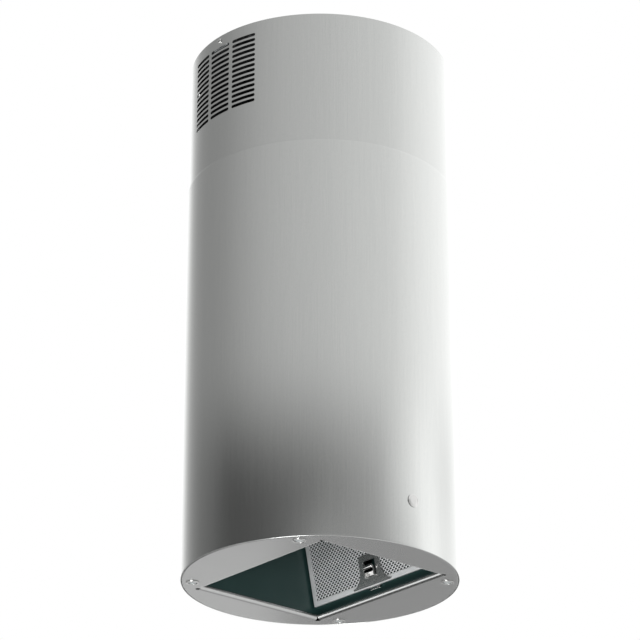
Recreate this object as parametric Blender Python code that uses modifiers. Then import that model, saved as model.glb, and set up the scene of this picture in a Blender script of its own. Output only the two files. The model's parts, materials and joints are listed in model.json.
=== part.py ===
"""Island range hood: two telescopic steel tubes around a filter box with its blower.

Metres, +Z up. The world origin is the middle of the ceiling plate's top face.
Pieces are placed by their height above the hood's underside, under one empty there.
Front is -Y, left is -X. Both grilles face left and right, as do the two grease filters.
"""

import math

import bmesh
import bpy
from mathutils import Matrix, Vector

# Whole hood
HEIGHT = 0.780
GAP = 0.0003
ROUND_STEPS = 48
SMOOTH_ANGLE = math.radians(35)

# Tubes
TUBE_WALL = 0.001
LOWER_RADIUS = 0.190
LOWER_HEIGHT = 0.580
UPPER_RADIUS = 0.188
UPPER_TOP = 0.779
UPPER_BOTTOM = 0.350

# Grilles, at the left and the right of the upper tube
VENT_COLUMNS = 3
VENT_ROWS = 14
VENT_COLUMN_PITCH = math.radians(14.15)
VENT_SLOT_SPAN = math.radians(12.35)
VENT_ROW_PITCH = 0.008
VENT_SLOT_HEIGHT = 0.0048
VENT_TOP_ROW = HEIGHT - 0.021
CHIMNEY_SCREW_HEIGHT = HEIGHT - 0.009
CHIMNEY_SCREW_RADIUS = 0.002

# Ceiling plate
CEILING_PLATE_RADIUS = 0.1855
CEILING_PLATE_THICKNESS = 0.003
DUCT_OPENING_RADIUS = 0.082
CEILING_SLOT_CIRCLE = 0.135
CEILING_SLOT = (0.022, 0.0065)
TAB_HALF_WIDTH = 0.015
TAB_FACE = 0.186
TAB_DROP = 0.020

# Telescopic rails: corners of the angle profiles, for each of the four quadrants
RAIL_SHEET = 0.0015
RAIL_LEG = 0.018
LOWER_RAIL_CORNER = (0.062, 0.1308)
UPPER_RAIL_CORNER = tuple(place + RAIL_SHEET + GAP for place in LOWER_RAIL_CORNER)
LOWER_RAIL_SPAN = (0.350, 0.735)
UPPER_RAIL_SPAN = (0.430, HEIGHT - CEILING_PLATE_THICKNESS - GAP)
RAIL_SCREW_HEIGHT = 0.680
RAIL_SCREW_X = 0.074
RAIL_SCREW_RADIUS = 0.0022
RAIL_HOLE_RADIUS = 0.0027
SLIDE_TRAVEL = 0.200
QUADRANTS = ((1, -1), (1, 1), (-1, 1), (-1, -1))

# Bottom plate
PLATE_RADIUS = 0.1886
PLATE_SHEET = 0.0012
PLATE_SKIRT = 0.012
OPENING_HALF = (0.110, 0.133)
BEND_RADIUS = 0.005
FLANGE_TOP = 0.0065
RELIEF_RADIUS = 0.0037
RELIEF_INSET = 0.0022

# Lamps
LAMP_PLACE = (0.1317, 0.1129)
LAMP_HOLE_RADIUS = 0.0078
LAMP_TOP = 0.020

# Filter box
BOX_HALF = (0.118, 0.1305)
BOX_SHEET = 0.001
BOX_TOP = 0.565
SILL_HEIGHT = 0.0143
SILL_EDGE = 0.0985
RING_HEIGHT = 0.300

# Grease filters: each stands on the sill and leans in at the top
FILTER_LEAN = math.radians(11.5)
FILTER_FOOT = (0.097, 0.0158)
FILTER_LENGTH = 0.262
FILTER_HALF_WIDTH = 0.1255
FILTER_DEPTH = 0.009
FILTER_BORDER = 0.007
FILTER_PIN_RADIUS = 0.002
FILTER_PIN_HOLE = 0.0024

# Blower
BLOWER_AXIS = (-0.020, 0.418)
BLOWER_HALF_WIDTH = 0.060
BLOWER_WALL = 0.002
SCROLL_START = 0.080
SCROLL_END = 0.118
SCROLL_OUTLET_TOP = BOX_TOP - BOX_SHEET - GAP
INLET_RADIUS = 0.066
IMPELLER_RADIUS = 0.072
IMPELLER_INNER = 0.060
IMPELLER_HALF_WIDTH = 0.054
BLADES = 20
MOTOR_FACE = 0.074

# Outlet
SPIGOT_X = 0.028
SPIGOT_RADIUS = 0.075
SPIGOT_TOP = 0.612
FLAP_HEIGHT = 0.585
FLAP_AXIS = 0.004
FLAP_RADIUS = 0.0720
FLAP_PIN_RADIUS = 0.0014
FLAP_PIN_HOLE = 0.0018

# Electronics
ELECTRONICS_HALF_WIDTH = 0.055
ELECTRONICS_SPAN = (0.110, 0.250)
ELECTRONICS_DEPTH = 0.038
ELECTRONICS_WALL = 0.002
LAMP_CABLE_ENTRIES = (-0.030, -0.010, 0.010, 0.030)
MOTOR_CABLE_Y = 0.030
MOTOR_CABLE_HEIGHT = 0.275
MOTOR_CABLE_HOLE = 0.006
MAINS_CABLE_Y = -0.030

MATERIALS = {
    "brushed_steel": ((0.60, 0.60, 0.58), 0.34, 1.0),
    "plate_steel": ((0.50, 0.50, 0.49), 0.42, 1.0),
    "dark_sheet": ((0.035, 0.055, 0.052), 0.38, 0.6),
    "galvanised_steel": ((0.55, 0.57, 0.58), 0.48, 1.0),
    "polished_steel": ((0.75, 0.75, 0.74), 0.12, 1.0),
    "aluminium": ((0.66, 0.67, 0.68), 0.38, 1.0),
    "black_plastic": ((0.03, 0.03, 0.03), 0.45, 0.0),
    "grey_plastic": ((0.32, 0.33, 0.34), 0.50, 0.0),
    "board_green": ((0.03, 0.16, 0.07), 0.45, 0.0),
    "cable_black": ((0.02, 0.02, 0.02), 0.55, 0.0),
    "lamp_lens": ((0.90, 0.92, 0.90), 0.10, 0.0),
}


def clear_scene():
    for obj in list(bpy.data.objects):
        bpy.data.objects.remove(obj)


def new_collection(name):
    collection = bpy.data.collections.new(name)
    bpy.context.scene.collection.children.link(collection)
    return collection


def material(slot):
    if slot in bpy.data.materials:
        return bpy.data.materials[slot]
    colour, roughness, metallic = MATERIALS[slot]
    made = bpy.data.materials.new(slot)
    made.use_nodes = True
    shader = made.node_tree.nodes["Principled BSDF"]
    shader.inputs["Base Color"].default_value = (*colour, 1.0)
    shader.inputs["Roughness"].default_value = roughness
    shader.inputs["Metallic"].default_value = metallic
    made.diffuse_color = (*colour, 1.0)
    return made


clear_scene()
PARTS = new_collection("island_range_hood")
CUTTERS = new_collection("cutters")


def empty(name, location, parent=None, rotation=None):
    obj = bpy.data.objects.new(name, None)
    obj.empty_display_size = 0.02
    obj.location = location
    if rotation is not None:
        obj.rotation_euler = rotation.to_euler()
    obj.parent = parent
    PARTS.objects.link(obj)
    return obj


UNDERSIDE = empty("underside", (0, 0, -HEIGHT))


def place(obj, parent, location=(0, 0, 0), rotation=(0, 0, 0)):
    obj.parent = parent or UNDERSIDE
    obj.location = location
    obj.rotation_euler = rotation
    return obj


def finish_mesh(mesh):
    """Merges loose caps, turns every face outwards and shades round faces smooth."""
    bm = bmesh.new()
    bm.from_mesh(mesh)
    bmesh.ops.remove_doubles(bm, verts=bm.verts, dist=1e-6)
    bmesh.ops.recalc_face_normals(bm, faces=bm.faces)
    bm.to_mesh(mesh)
    bm.free()
    mesh.shade_smooth()
    mesh.set_sharp_from_angle(angle=SMOOTH_ANGLE)


def part(name, mesh, slot, parent=None, location=(0, 0, 0), rotation=(0, 0, 0)):
    mesh.name = name
    obj = bpy.data.objects.new(name, mesh)
    mesh.materials.append(material(slot))
    PARTS.objects.link(obj)
    return place(obj, parent, location, rotation)


def mesh_of(build):
    """A mesh made by build(bm)."""
    mesh = bpy.data.meshes.new("shape")
    bm = bmesh.new()
    build(bm)
    bm.to_mesh(mesh)
    bm.free()
    finish_mesh(mesh)
    return mesh


def box_mesh(low, high):
    def build(bm):
        size = Vector(high) - Vector(low)
        middle = (Vector(high) + Vector(low)) / 2
        matrix = Matrix.Translation(middle) @ Matrix.Diagonal((*size, 1))
        bmesh.ops.create_cube(bm, size=1, matrix=matrix)

    return mesh_of(build)


def rod_mesh(start, end, radius, sides=16):
    """A solid round bar between two points."""

    def build(bm):
        start_point, end_point = Vector(start), Vector(end)
        along = end_point - start_point
        turn = along.to_track_quat("Z", "Y").to_matrix().to_4x4()
        matrix = Matrix.Translation((start_point + end_point) / 2) @ turn
        bmesh.ops.create_cone(
            bm, cap_ends=True, segments=sides, radius1=radius, radius2=radius,
            depth=along.length, matrix=matrix,
        )

    return mesh_of(build)


def joined(meshes):
    """One mesh with the separate bodies of several."""
    whole = bpy.data.meshes.new("shapes")
    bm = bmesh.new()
    for mesh in meshes:
        bm.from_mesh(mesh)
    bm.to_mesh(whole)
    bm.free()
    return whole


def turned_mesh(profile, steps=ROUND_STEPS):
    """The solid that a closed (radius, height) profile makes about Z."""
    mesh = bpy.data.meshes.new("profile")
    on_axis = profile[0][0] == 0 and profile[-1][0] == 0
    count = len(profile)
    edges = [(i, (i + 1) % count) for i in range(count - 1 if on_axis else count)]
    mesh.from_pydata([(radius, 0, height) for radius, height in profile], edges, [])
    return evaluated_mesh(mesh, steps)


def evaluated_mesh(profile, steps):
    obj = bpy.data.objects.new("turning", profile)
    bpy.context.scene.collection.objects.link(obj)
    screw = obj.modifiers.new("turn", "SCREW")
    screw.steps = screw.render_steps = steps
    screw.use_merge_vertices = True
    screw.merge_threshold = 1e-5
    return baked(obj)


def baked(obj):
    """The mesh that an object evaluates to. The object is removed."""
    bpy.context.view_layer.update()
    graph = bpy.context.evaluated_depsgraph_get()
    mesh = bpy.data.meshes.new_from_object(obj.evaluated_get(graph))
    bpy.data.objects.remove(obj)
    finish_mesh(mesh)
    return mesh


def flat_mesh(loops, thickness):
    """A flat plate in XY, from z = 0 up. The first loop is its outline and the others are holes."""
    curve = bpy.data.curves.new("outline", "CURVE")
    curve.dimensions = "2D"
    curve.fill_mode = "BOTH"
    curve.extrude = thickness / 2
    for loop in loops:
        spline = curve.splines.new("POLY")
        spline.points.add(len(loop) - 1)
        for point, (x, y) in zip(spline.points, loop):
            point.co = (x, y, thickness / 2, 1)
        spline.use_cyclic_u = True
    obj = bpy.data.objects.new("outline", curve)
    bpy.context.scene.collection.objects.link(obj)
    mesh = baked(obj)
    lowest = min(vertex.co.z for vertex in mesh.vertices)
    mesh.transform(Matrix.Translation((0, 0, -lowest)))
    return mesh


def cable(name, points, radius, parent=None):
    """A flexible cable on one smooth curve through the given points."""
    curve = bpy.data.curves.new(name, "CURVE")
    curve.dimensions = "3D"
    curve.bevel_depth = radius
    curve.bevel_resolution = 1
    curve.use_fill_caps = True
    path = smooth_path([Vector(point) for point in points], 3)
    spline = curve.splines.new("POLY")
    spline.points.add(len(path) - 1)
    for target, point in zip(spline.points, path):
        target.co = (*point, 1)
    obj = bpy.data.objects.new(name + "_path", curve)
    bpy.context.scene.collection.objects.link(obj)
    return part(name, baked(obj), "cable_black", parent)


def smooth_path(points, steps):
    """Points on a Catmull-Rom curve through the given ones."""
    ends = [2 * points[0] - points[1], *points, 2 * points[-1] - points[-2]]
    path = []
    for before, start, end, after in zip(ends, ends[1:], ends[2:], ends[3:]):
        for step in range(steps):
            t = step / steps
            path.append(
                0.5 * (2 * start + (end - before) * t
                       + (2 * before - 5 * start + 4 * end - after) * t ** 2
                       + (3 * start - before - 3 * end + after) * t ** 3)
            )
    return [*path, points[-1]]


def circle(radius, steps=ROUND_STEPS, centre=(0, 0)):
    turn = 2 * math.pi / steps
    return [
        (centre[0] + radius * math.cos(i * turn), centre[1] + radius * math.sin(i * turn))
        for i in range(steps)
    ]


def rectangle(low_x, low_y, high_x, high_y):
    return [(low_x, low_y), (high_x, low_y), (high_x, high_y), (low_x, high_y)]


def slot_loop(length, width, centre=(0, 0), along=0.0, end_steps=4):
    """A slot with round ends, lying in the direction `along`."""
    radius = width / 2
    reach = length / 2 - radius
    loop = []
    for side, start in ((1, -math.pi / 2), (-1, math.pi / 2)):
        for i in range(end_steps + 1):
            turn = start + math.pi * i / end_steps
            x = side * reach + radius * math.cos(turn)
            y = radius * math.sin(turn)
            loop.append(
                (centre[0] + x * math.cos(along) - y * math.sin(along),
                 centre[1] + x * math.sin(along) + y * math.cos(along))
            )
    return loop


def boolean(obj, mesh, operation="DIFFERENCE", matrix=None):
    """Cuts a mesh out of an object, or joins it on, in the object's own frame."""
    cutter = bpy.data.objects.new(obj.name + "_" + operation.lower(), mesh)
    CUTTERS.objects.link(cutter)
    cutter.hide_render = True
    cutter.display_type = "WIRE"
    cutter.parent = obj
    if matrix is not None:
        cutter.matrix_local = matrix
    modifier = obj.modifiers.new(operation.lower(), "BOOLEAN")
    modifier.operation = operation
    modifier.solver = "EXACT"
    modifier.object = cutter
    return obj


def thicken(obj, thickness):
    modifier = obj.modifiers.new("sheet", "SOLIDIFY")
    modifier.thickness = thickness
    modifier.offset = -1
    modifier.use_even_offset = True
    return obj


# Ceiling part


def ceiling_plate():
    loops = [circle(CEILING_PLATE_RADIUS), circle(DUCT_OPENING_RADIUS, 32)]
    for i in range(4):
        angle = math.radians(45 + 90 * i)
        centre = (CEILING_SLOT_CIRCLE * math.cos(angle), CEILING_SLOT_CIRCLE * math.sin(angle))
        loops.append(slot_loop(*CEILING_SLOT, centre, angle + math.pi / 2, end_steps=3))
    plate = part("ceiling_plate", flat_mesh(loops, CEILING_PLATE_THICKNESS), "galvanised_steel")
    plate.location.z = HEIGHT - CEILING_PLATE_THICKNESS
    tab_thickness = 0.0025
    overlap = 0.006
    for side in (1, -1):
        bridge = (side * (CEILING_PLATE_RADIUS - overlap), side * TAB_FACE)
        tab = (side * (TAB_FACE - tab_thickness), side * TAB_FACE)
        low_z = CEILING_PLATE_THICKNESS - TAB_DROP
        shapes = (
            (bridge, CEILING_PLATE_THICKNESS - tab_thickness, CEILING_PLATE_THICKNESS),
            (tab, low_z, CEILING_PLATE_THICKNESS - tab_thickness / 2),
        )
        for (first, second), bottom, top in shapes:
            low = (min(first, second), -TAB_HALF_WIDTH, bottom)
            high = (max(first, second), TAB_HALF_WIDTH, top)
            boolean(plate, box_mesh(low, high), "UNION")
    drill = CHIMNEY_SCREW_HEIGHT - (HEIGHT - CEILING_PLATE_THICKNESS)
    boolean(plate, rod_mesh((-0.2, 0, drill), (0.2, 0, drill), CHIMNEY_SCREW_RADIUS + GAP))


def angle_profile(corner, leg, quadrant):
    """Outline of an angle rail: one leg runs along X, the other along Y, both away from the middle."""
    x, y = corner
    points = (
        (x, y), (x + leg, y), (x + leg, y + RAIL_SHEET), (x + RAIL_SHEET, y + RAIL_SHEET),
        (x + RAIL_SHEET, y + leg), (x, y + leg),
    )
    return [(quadrant[0] * px, quadrant[1] * py) for px, py in points]


def rails():
    """Four angle rails hang from the ceiling plate, with slots, and clasp four that carry the hood."""
    slot_low = RAIL_SCREW_HEIGHT - SLIDE_TRAVEL - RAIL_HOLE_RADIUS
    slot_high = RAIL_SCREW_HEIGHT + RAIL_HOLE_RADIUS
    drill_near, drill_far = LOWER_RAIL_CORNER[1] - 0.010, LOWER_RAIL_CORNER[1] + 0.030
    for number, quadrant in enumerate(QUADRANTS, 1):
        across, deep = quadrant
        lower = part(
            f"lower_rail_{number}",
            flat_mesh([angle_profile(LOWER_RAIL_CORNER, RAIL_LEG, quadrant)],
                      LOWER_RAIL_SPAN[1] - LOWER_RAIL_SPAN[0]),
            "galvanised_steel", location=(0, 0, LOWER_RAIL_SPAN[0]),
        )
        height = RAIL_SCREW_HEIGHT - LOWER_RAIL_SPAN[0]
        screw_x = across * RAIL_SCREW_X
        boolean(lower, rod_mesh((screw_x, deep * drill_near, height), (screw_x, deep * drill_far, height),
                                RAIL_HOLE_RADIUS, 12))
        upper = part(
            f"upper_rail_{number}",
            flat_mesh([angle_profile(UPPER_RAIL_CORNER, RAIL_LEG + 0.002, quadrant)],
                      UPPER_RAIL_SPAN[1] - UPPER_RAIL_SPAN[0]),
            "galvanised_steel", location=(0, 0, UPPER_RAIL_SPAN[0]),
        )
        middle = (slot_low + slot_high) / 2 - UPPER_RAIL_SPAN[0]
        slot = flat_mesh([slot_loop(slot_high - slot_low, 2 * RAIL_HOLE_RADIUS, end_steps=6)],
                         drill_far - drill_near)
        upright = Matrix.Rotation(math.radians(-90 * deep), 4, "X") @ Matrix.Rotation(math.pi / 2, 4, "Z")
        slot.transform(upright)
        boolean(upper, slot, "DIFFERENCE", Matrix.Translation((screw_x, deep * drill_near, middle)))
        rail_screw(number, across, deep)


def rail_screw(number, across, deep):
    """Clamp screw through both rails, with its head outside and its nut inside."""
    head_face = UPPER_RAIL_CORNER[1] + RAIL_SHEET + GAP
    nut_face = LOWER_RAIL_CORNER[1] - GAP
    head_height, nut_height, head_radius = 0.003, 0.0035, 0.0045
    profile = [
        (0, head_face + head_height), (head_radius, head_face + head_height), (head_radius, head_face),
        (RAIL_SCREW_RADIUS, head_face), (RAIL_SCREW_RADIUS, nut_face), (head_radius, nut_face),
        (head_radius, nut_face - nut_height), (0, nut_face - nut_height),
    ]
    screw = part(f"rail_screw_{number}", turned_mesh(profile, 12), "polished_steel")
    screw.location = (across * RAIL_SCREW_X, 0, RAIL_SCREW_HEIGHT)
    screw.rotation_euler = (math.radians(-90 * deep), 0, 0)


def tube_mesh(outer, bottom, top, wall=TUBE_WALL, steps=ROUND_STEPS):
    inner = outer - wall
    return turned_mesh([(outer, top), (outer, bottom), (inner, bottom), (inner, top)], steps)


def vent_cutters():
    """One prism for each slot of both grilles."""
    slot_length = 2 * UPPER_RADIUS * math.sin(VENT_SLOT_SPAN / 2)
    depth = 0.012
    slot = flat_mesh([slot_loop(slot_length, VENT_SLOT_HEIGHT, end_steps=1)], depth)
    upright = Matrix.Rotation(math.pi / 2, 4, "Y") @ Matrix.Rotation(math.pi / 2, 4, "Z")
    bm = bmesh.new()
    for side in (0, math.pi):
        for column in range(VENT_COLUMNS):
            turn = side + (column - (VENT_COLUMNS - 1) / 2) * VENT_COLUMN_PITCH
            for row in range(VENT_ROWS):
                height = VENT_TOP_ROW - row * VENT_ROW_PITCH
                placed = slot.copy()
                placed.transform(
                    Matrix.Rotation(turn, 4, "Z")
                    @ Matrix.Translation((UPPER_RADIUS - depth * 0.6, 0, height)) @ upright
                )
                bm.from_mesh(placed)
                bpy.data.meshes.remove(placed)
    cutters = bpy.data.meshes.new("vent_cutters")
    bm.to_mesh(cutters)
    bm.free()
    return cutters


def upper_chimney():
    tube = part("upper_chimney", tube_mesh(UPPER_RADIUS, UPPER_BOTTOM, UPPER_TOP), "brushed_steel")
    boolean(tube, vent_cutters())
    reach = UPPER_RADIUS + 0.01
    hole = rod_mesh((-reach, 0, CHIMNEY_SCREW_HEIGHT), (reach, 0, CHIMNEY_SCREW_HEIGHT),
                    CHIMNEY_SCREW_RADIUS + GAP)
    boolean(tube, hole)
    for name, side in (("left", -1), ("right", 1)):
        head_face = UPPER_RADIUS + GAP
        profile = [
            (0, head_face + 0.0022), (0.0026, head_face + 0.0020), (0.0038, head_face + 0.0008),
            (0.0038, head_face), (CHIMNEY_SCREW_RADIUS, head_face),
            (CHIMNEY_SCREW_RADIUS, head_face - 0.011), (0, head_face - 0.012),
        ]
        screw = part(f"chimney_screw_{name}", turned_mesh(profile, 16), "polished_steel")
        screw.location = (0, 0, CHIMNEY_SCREW_HEIGHT)
        screw.rotation_euler = (0, side * math.pi / 2, 0)


def air_deflector():
    """Box duct along X, open at both ends, that hangs from two tabs, and the round collar below it."""
    half_length, half_width, sheet = 0.160, 0.080, 0.0015
    bottom, top = 0.648, 0.766
    tab_near, tab_far, tab_half_width = 0.105, 0.130, 0.012
    over = 0.01
    body = part("air_deflector",
                box_mesh((-half_length, -half_width, bottom), (half_length, half_width, top)),
                "black_plastic")
    hanger_top = HEIGHT - CEILING_PLATE_THICKNESS - GAP
    for side in (1, -1):
        low_x, high_x = sorted((side * tab_near, side * tab_far))
        boolean(body, box_mesh((low_x, -tab_half_width, top - sheet / 2),
                               (high_x, tab_half_width, hanger_top)), "UNION")
    boolean(body, box_mesh((-half_length - over, -half_width + sheet, bottom + sheet),
                           (half_length + over, half_width - sheet, top - sheet)))
    collar_bottom, collar_radius, flange = 0.630, SPIGOT_RADIUS - 0.0005, 0.0785
    bore, flange_top = collar_radius - sheet, bottom - GAP
    boolean(body, rod_mesh((SPIGOT_X, 0, bottom - over), (SPIGOT_X, 0, bottom + over), bore, 32))
    profile = [
        (flange, flange_top), (flange, flange_top - sheet), (collar_radius, flange_top - sheet),
        (collar_radius, collar_bottom), (bore, collar_bottom), (bore, flange_top),
    ]
    part("deflector_collar", turned_mesh(profile, 32), "black_plastic", location=(SPIGOT_X, 0, 0))


def flexible_duct():
    """Corrugated duct between the spigot and the deflector's collar."""
    low, high = 0.592, 0.6455
    folds, inner, depth, foil = 6, SPIGOT_RADIUS + 0.0008, 0.003, 0.0006
    pitch = (high - low) / (2 * folds)
    outer_side = [(inner + foil + depth * (i % 2), high - i * pitch) for i in range(2 * folds + 1)]
    inner_side = [(radius - foil, height) for radius, height in reversed(outer_side)]
    duct = turned_mesh(outer_side + inner_side, 24)
    part("flexible_duct", duct, "aluminium", location=(SPIGOT_X, 0, 0))


# Hood part


def lower_chimney():
    part("lower_chimney", tube_mesh(LOWER_RADIUS, 0, LOWER_HEIGHT), "brushed_steel")


def opening_loop():
    """The filter opening's bend lines, with a round relief at each corner, and the points in one corner."""
    centre = (OPENING_HALF[0] - RELIEF_INSET, OPENING_HALF[1] - RELIEF_INSET)
    steps = 8
    first = -math.acos(RELIEF_INSET / RELIEF_RADIUS)
    last = math.pi / 2 + math.acos(RELIEF_INSET / RELIEF_RADIUS)
    corner = [
        (centre[0] + RELIEF_RADIUS * math.cos(first + (last - first) * i / steps),
         centre[1] + RELIEF_RADIUS * math.sin(first + (last - first) * i / steps))
        for i in range(steps + 1)
    ]
    loop = []
    for across, deep in ((1, 1), (-1, 1), (-1, -1), (1, -1)):
        points = [(across * x, deep * y) for x, y in corner]
        loop.extend(points if across * deep > 0 else reversed(points))
    return loop, steps + 1


def bottom_plate():
    """Sheet plate: flat, with a skirt round its edge and a flange bent up along each side of the opening."""
    bm = bmesh.new()

    def add_loop(points):
        verts = [bm.verts.new((x, y, 0)) for x, y in points]
        return [bm.edges.new((a, b)) for a, b in zip(verts, verts[1:] + verts[:1])], verts

    rim_edges, _ = add_loop(circle(PLATE_RADIUS))
    opening, corner_points = opening_loop()
    opening_edges, _ = add_loop(opening)
    loops = rim_edges + opening_edges
    for across, deep in QUADRANTS:
        centre = (across * LAMP_PLACE[0], deep * LAMP_PLACE[1])
        loops += add_loop(circle(LAMP_HOLE_RADIUS, 20, centre))[0]
    bmesh.ops.triangle_fill(bm, use_beauty=True, use_dissolve=False, edges=loops, normal=(0, 0, -1))
    raised = bmesh.ops.extrude_edge_only(bm, edges=rim_edges)["geom"]
    skirt = [item for item in raised if isinstance(item, bmesh.types.BMVert)]
    bmesh.ops.translate(bm, vec=(0, 0, PLATE_SKIRT), verts=skirt)
    bend_lines = opening_edges[corner_points - 1::corner_points]
    for edge in bend_lines:
        middle = (edge.verts[0].co + edge.verts[1].co) / 2
        outward = middle.normalized()
        axis = Vector((0, 0, 1)).cross(outward)
        centre = middle + Vector((0, 0, BEND_RADIUS))
        bent = bmesh.ops.spin(bm, geom=[edge, *edge.verts], cent=centre, axis=axis,
                              angle=math.pi / 2, steps=4)
        last = [item for item in bent["geom_last"] if isinstance(item, bmesh.types.BMEdge)]
        lifted = bmesh.ops.extrude_edge_only(bm, edges=last)["geom"]
        lip = [item for item in lifted if isinstance(item, bmesh.types.BMVert)]
        bmesh.ops.translate(bm, vec=(0, 0, FLANGE_TOP - BEND_RADIUS), verts=lip)
    bmesh.ops.recalc_face_normals(bm, faces=bm.faces)
    bm.faces.ensure_lookup_table()
    flat = max(bm.faces, key=lambda face: abs(face.normal.z) * face.calc_area())
    if flat.normal.z > 0:
        bmesh.ops.reverse_faces(bm, faces=bm.faces)
    mesh = bpy.data.meshes.new("bottom_plate")
    bm.to_mesh(mesh)
    bm.free()
    mesh.shade_smooth()
    mesh.set_sharp_from_angle(angle=SMOOTH_ANGLE)
    thicken(part("bottom_plate", mesh, "plate_steel"), PLATE_SHEET)


def lamps():
    """Recessed spotlights: a turned body with a polished rim under the plate, and a lens in its mouth."""
    rim_radius, rim_top, rim_bottom = 0.009, -GAP, -0.0014
    body_radius, mouth_radius, lens_radius = 0.0074, 0.0062, 0.0058
    lens_bottom, lens_top, floor = -0.0004, 0.0014, 0.004
    chamfer = 0.002
    body_profile = [
        (0, LAMP_TOP), (body_radius - chamfer, LAMP_TOP), (body_radius, LAMP_TOP - chamfer),
        (body_radius, rim_top),
        (rim_radius, rim_top), (rim_radius, rim_top - 0.0004), (rim_radius - 0.0010, rim_bottom),
        (mouth_radius, rim_bottom), (mouth_radius, floor), (0, floor),
    ]
    crown = 0.0006
    lens_profile = [
        (0, lens_top), (lens_radius, lens_top), (lens_radius, lens_bottom), (0, lens_bottom - crown),
    ]
    for number, (across, deep) in enumerate(QUADRANTS, 1):
        location = (across * LAMP_PLACE[0], deep * LAMP_PLACE[1], 0)
        housing, lens = turned_mesh(body_profile, 20), turned_mesh(lens_profile, 20)
        part(f"lamp_body_{number}", housing, "polished_steel", location=location)
        part(f"lamp_lens_{number}", lens, "lamp_lens", location=location)


def filter_pivot():
    """(x, height) of the right filter's hinge axis: the middle of its top edge."""
    along = (-math.sin(FILTER_LEAN), math.cos(FILTER_LEAN))
    outward = (math.cos(FILTER_LEAN), math.sin(FILTER_LEAN))
    return tuple(
        FILTER_FOOT[i] + FILTER_LENGTH * along[i] + FILTER_DEPTH / 2 * outward[i] for i in (0, 1)
    )


def hood_body():
    """Sheet box round the filters and the blower, open below, with an inward sill under each filter."""
    half_x, half_y = BOX_HALF
    wall_bottom = BEND_RADIUS + PLATE_SHEET / 2
    inner_x, inner_y, inner_top = half_x - BOX_SHEET, half_y - BOX_SHEET, BOX_TOP - BOX_SHEET
    over, half_sheet = 0.01, BOX_SHEET / 2
    latch_notch = (0.005, 0.014)
    shell = box_mesh((-half_x, -half_y, wall_bottom), (half_x, half_y, BOX_TOP))
    body = part("hood_body", shell, "dark_sheet")
    boolean(body, box_mesh((-inner_x, -inner_y, -over), (inner_x, inner_y, inner_top)))
    pivot_x, pivot_height = filter_pivot()
    for side in (1, -1):
        low_x, high_x = sorted((side * SILL_EDGE, side * (inner_x + half_sheet)))
        sill = box_mesh((low_x, -inner_y - half_sheet, SILL_HEIGHT),
                        (high_x, inner_y + half_sheet, SILL_HEIGHT + BOX_SHEET))
        boolean(body, sill, "UNION")
        low_x, high_x = sorted((side * (SILL_EDGE - 0.001), side * (SILL_EDGE + latch_notch[0])))
        boolean(body, box_mesh((low_x, -latch_notch[1], SILL_HEIGHT - 0.001),
                               (high_x, latch_notch[1], SILL_HEIGHT + 2 * BOX_SHEET)))
        pin_hole = rod_mesh((side * pivot_x, -half_y - over, pivot_height),
                            (side * pivot_x, half_y + over, pivot_height), FILTER_PIN_HOLE)
        boolean(body, pin_hole)
    boolean(body, rod_mesh((SPIGOT_X, 0, inner_top - over), (SPIGOT_X, 0, BOX_TOP + over),
                           SPIGOT_RADIUS - 0.002, 32))
    boolean(body, rod_mesh((-half_x - over, MOTOR_CABLE_Y, MOTOR_CABLE_HEIGHT),
                           (-inner_x + over, MOTOR_CABLE_Y, MOTOR_CABLE_HEIGHT), MOTOR_CABLE_HOLE))


def folded_mesh(points, half_width):
    """Open sheet that follows the (x, height) points and runs along Y."""
    bm = bmesh.new()
    verts = [bm.verts.new((x, -half_width, height)) for x, height in points]
    edges = [bm.edges.new(pair) for pair in zip(verts, verts[1:])]
    made = bmesh.ops.extrude_edge_only(bm, edges=edges)["geom"]
    moved = [item for item in made if isinstance(item, bmesh.types.BMVert)]
    bmesh.ops.translate(bm, vec=(0, 2 * half_width, 0), verts=moved)
    bmesh.ops.recalc_face_normals(bm, faces=bm.faces)
    mesh = bpy.data.meshes.new("folded")
    bm.to_mesh(mesh)
    bm.free()
    return mesh


def recess_cap():
    """Plate between the tops of the filters, with its long edges turned up."""
    half_width, height, turned_up = 0.058, 0.277, 0.288
    points = [(-half_width, turned_up), (-half_width, height), (half_width, height), (half_width, turned_up)]
    sheet = folded_mesh(points, BOX_HALF[1] - BOX_SHEET - GAP)
    thicken(part("recess_cap", sheet, "dark_sheet"), BOX_SHEET)


def tube_ring():
    """Plate that centres the filter box in the lower tube."""
    hole_x, hole_y = (half + GAP for half in BOX_HALF)
    plate = flat_mesh([circle(PLATE_RADIUS), rectangle(-hole_x, -hole_y, hole_x, hole_y)], 0.0015)
    part("tube_ring", plate, "galvanised_steel", location=(0, 0, RING_HEIGHT))


def badge():
    """Plain disc on the front of the lower tube."""
    profile = [(0, 0.0008), (0.0083, 0.0008), (0.0090, 0.0004), (0.0090, 0), (0, 0)]
    disc = part("badge", turned_mesh(profile, 24), "polished_steel")
    disc.location = (0, -(LOWER_RADIUS + GAP), 0.065)
    disc.rotation_euler = (math.pi / 2, 0, 0)


# Grease filters, in a frame of their own: X along the hood's Y, Y up the slope, Z into the recess,
# from the middle of the foot's inner edge


def filter_point(across, up, in_recess):
    """A place on the filter, from its hinge axis."""
    return (across, up - FILTER_LENGTH, in_recess + FILTER_DEPTH / 2)


def filter_box(low, high):
    return box_mesh(filter_point(*low), filter_point(*high))


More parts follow.
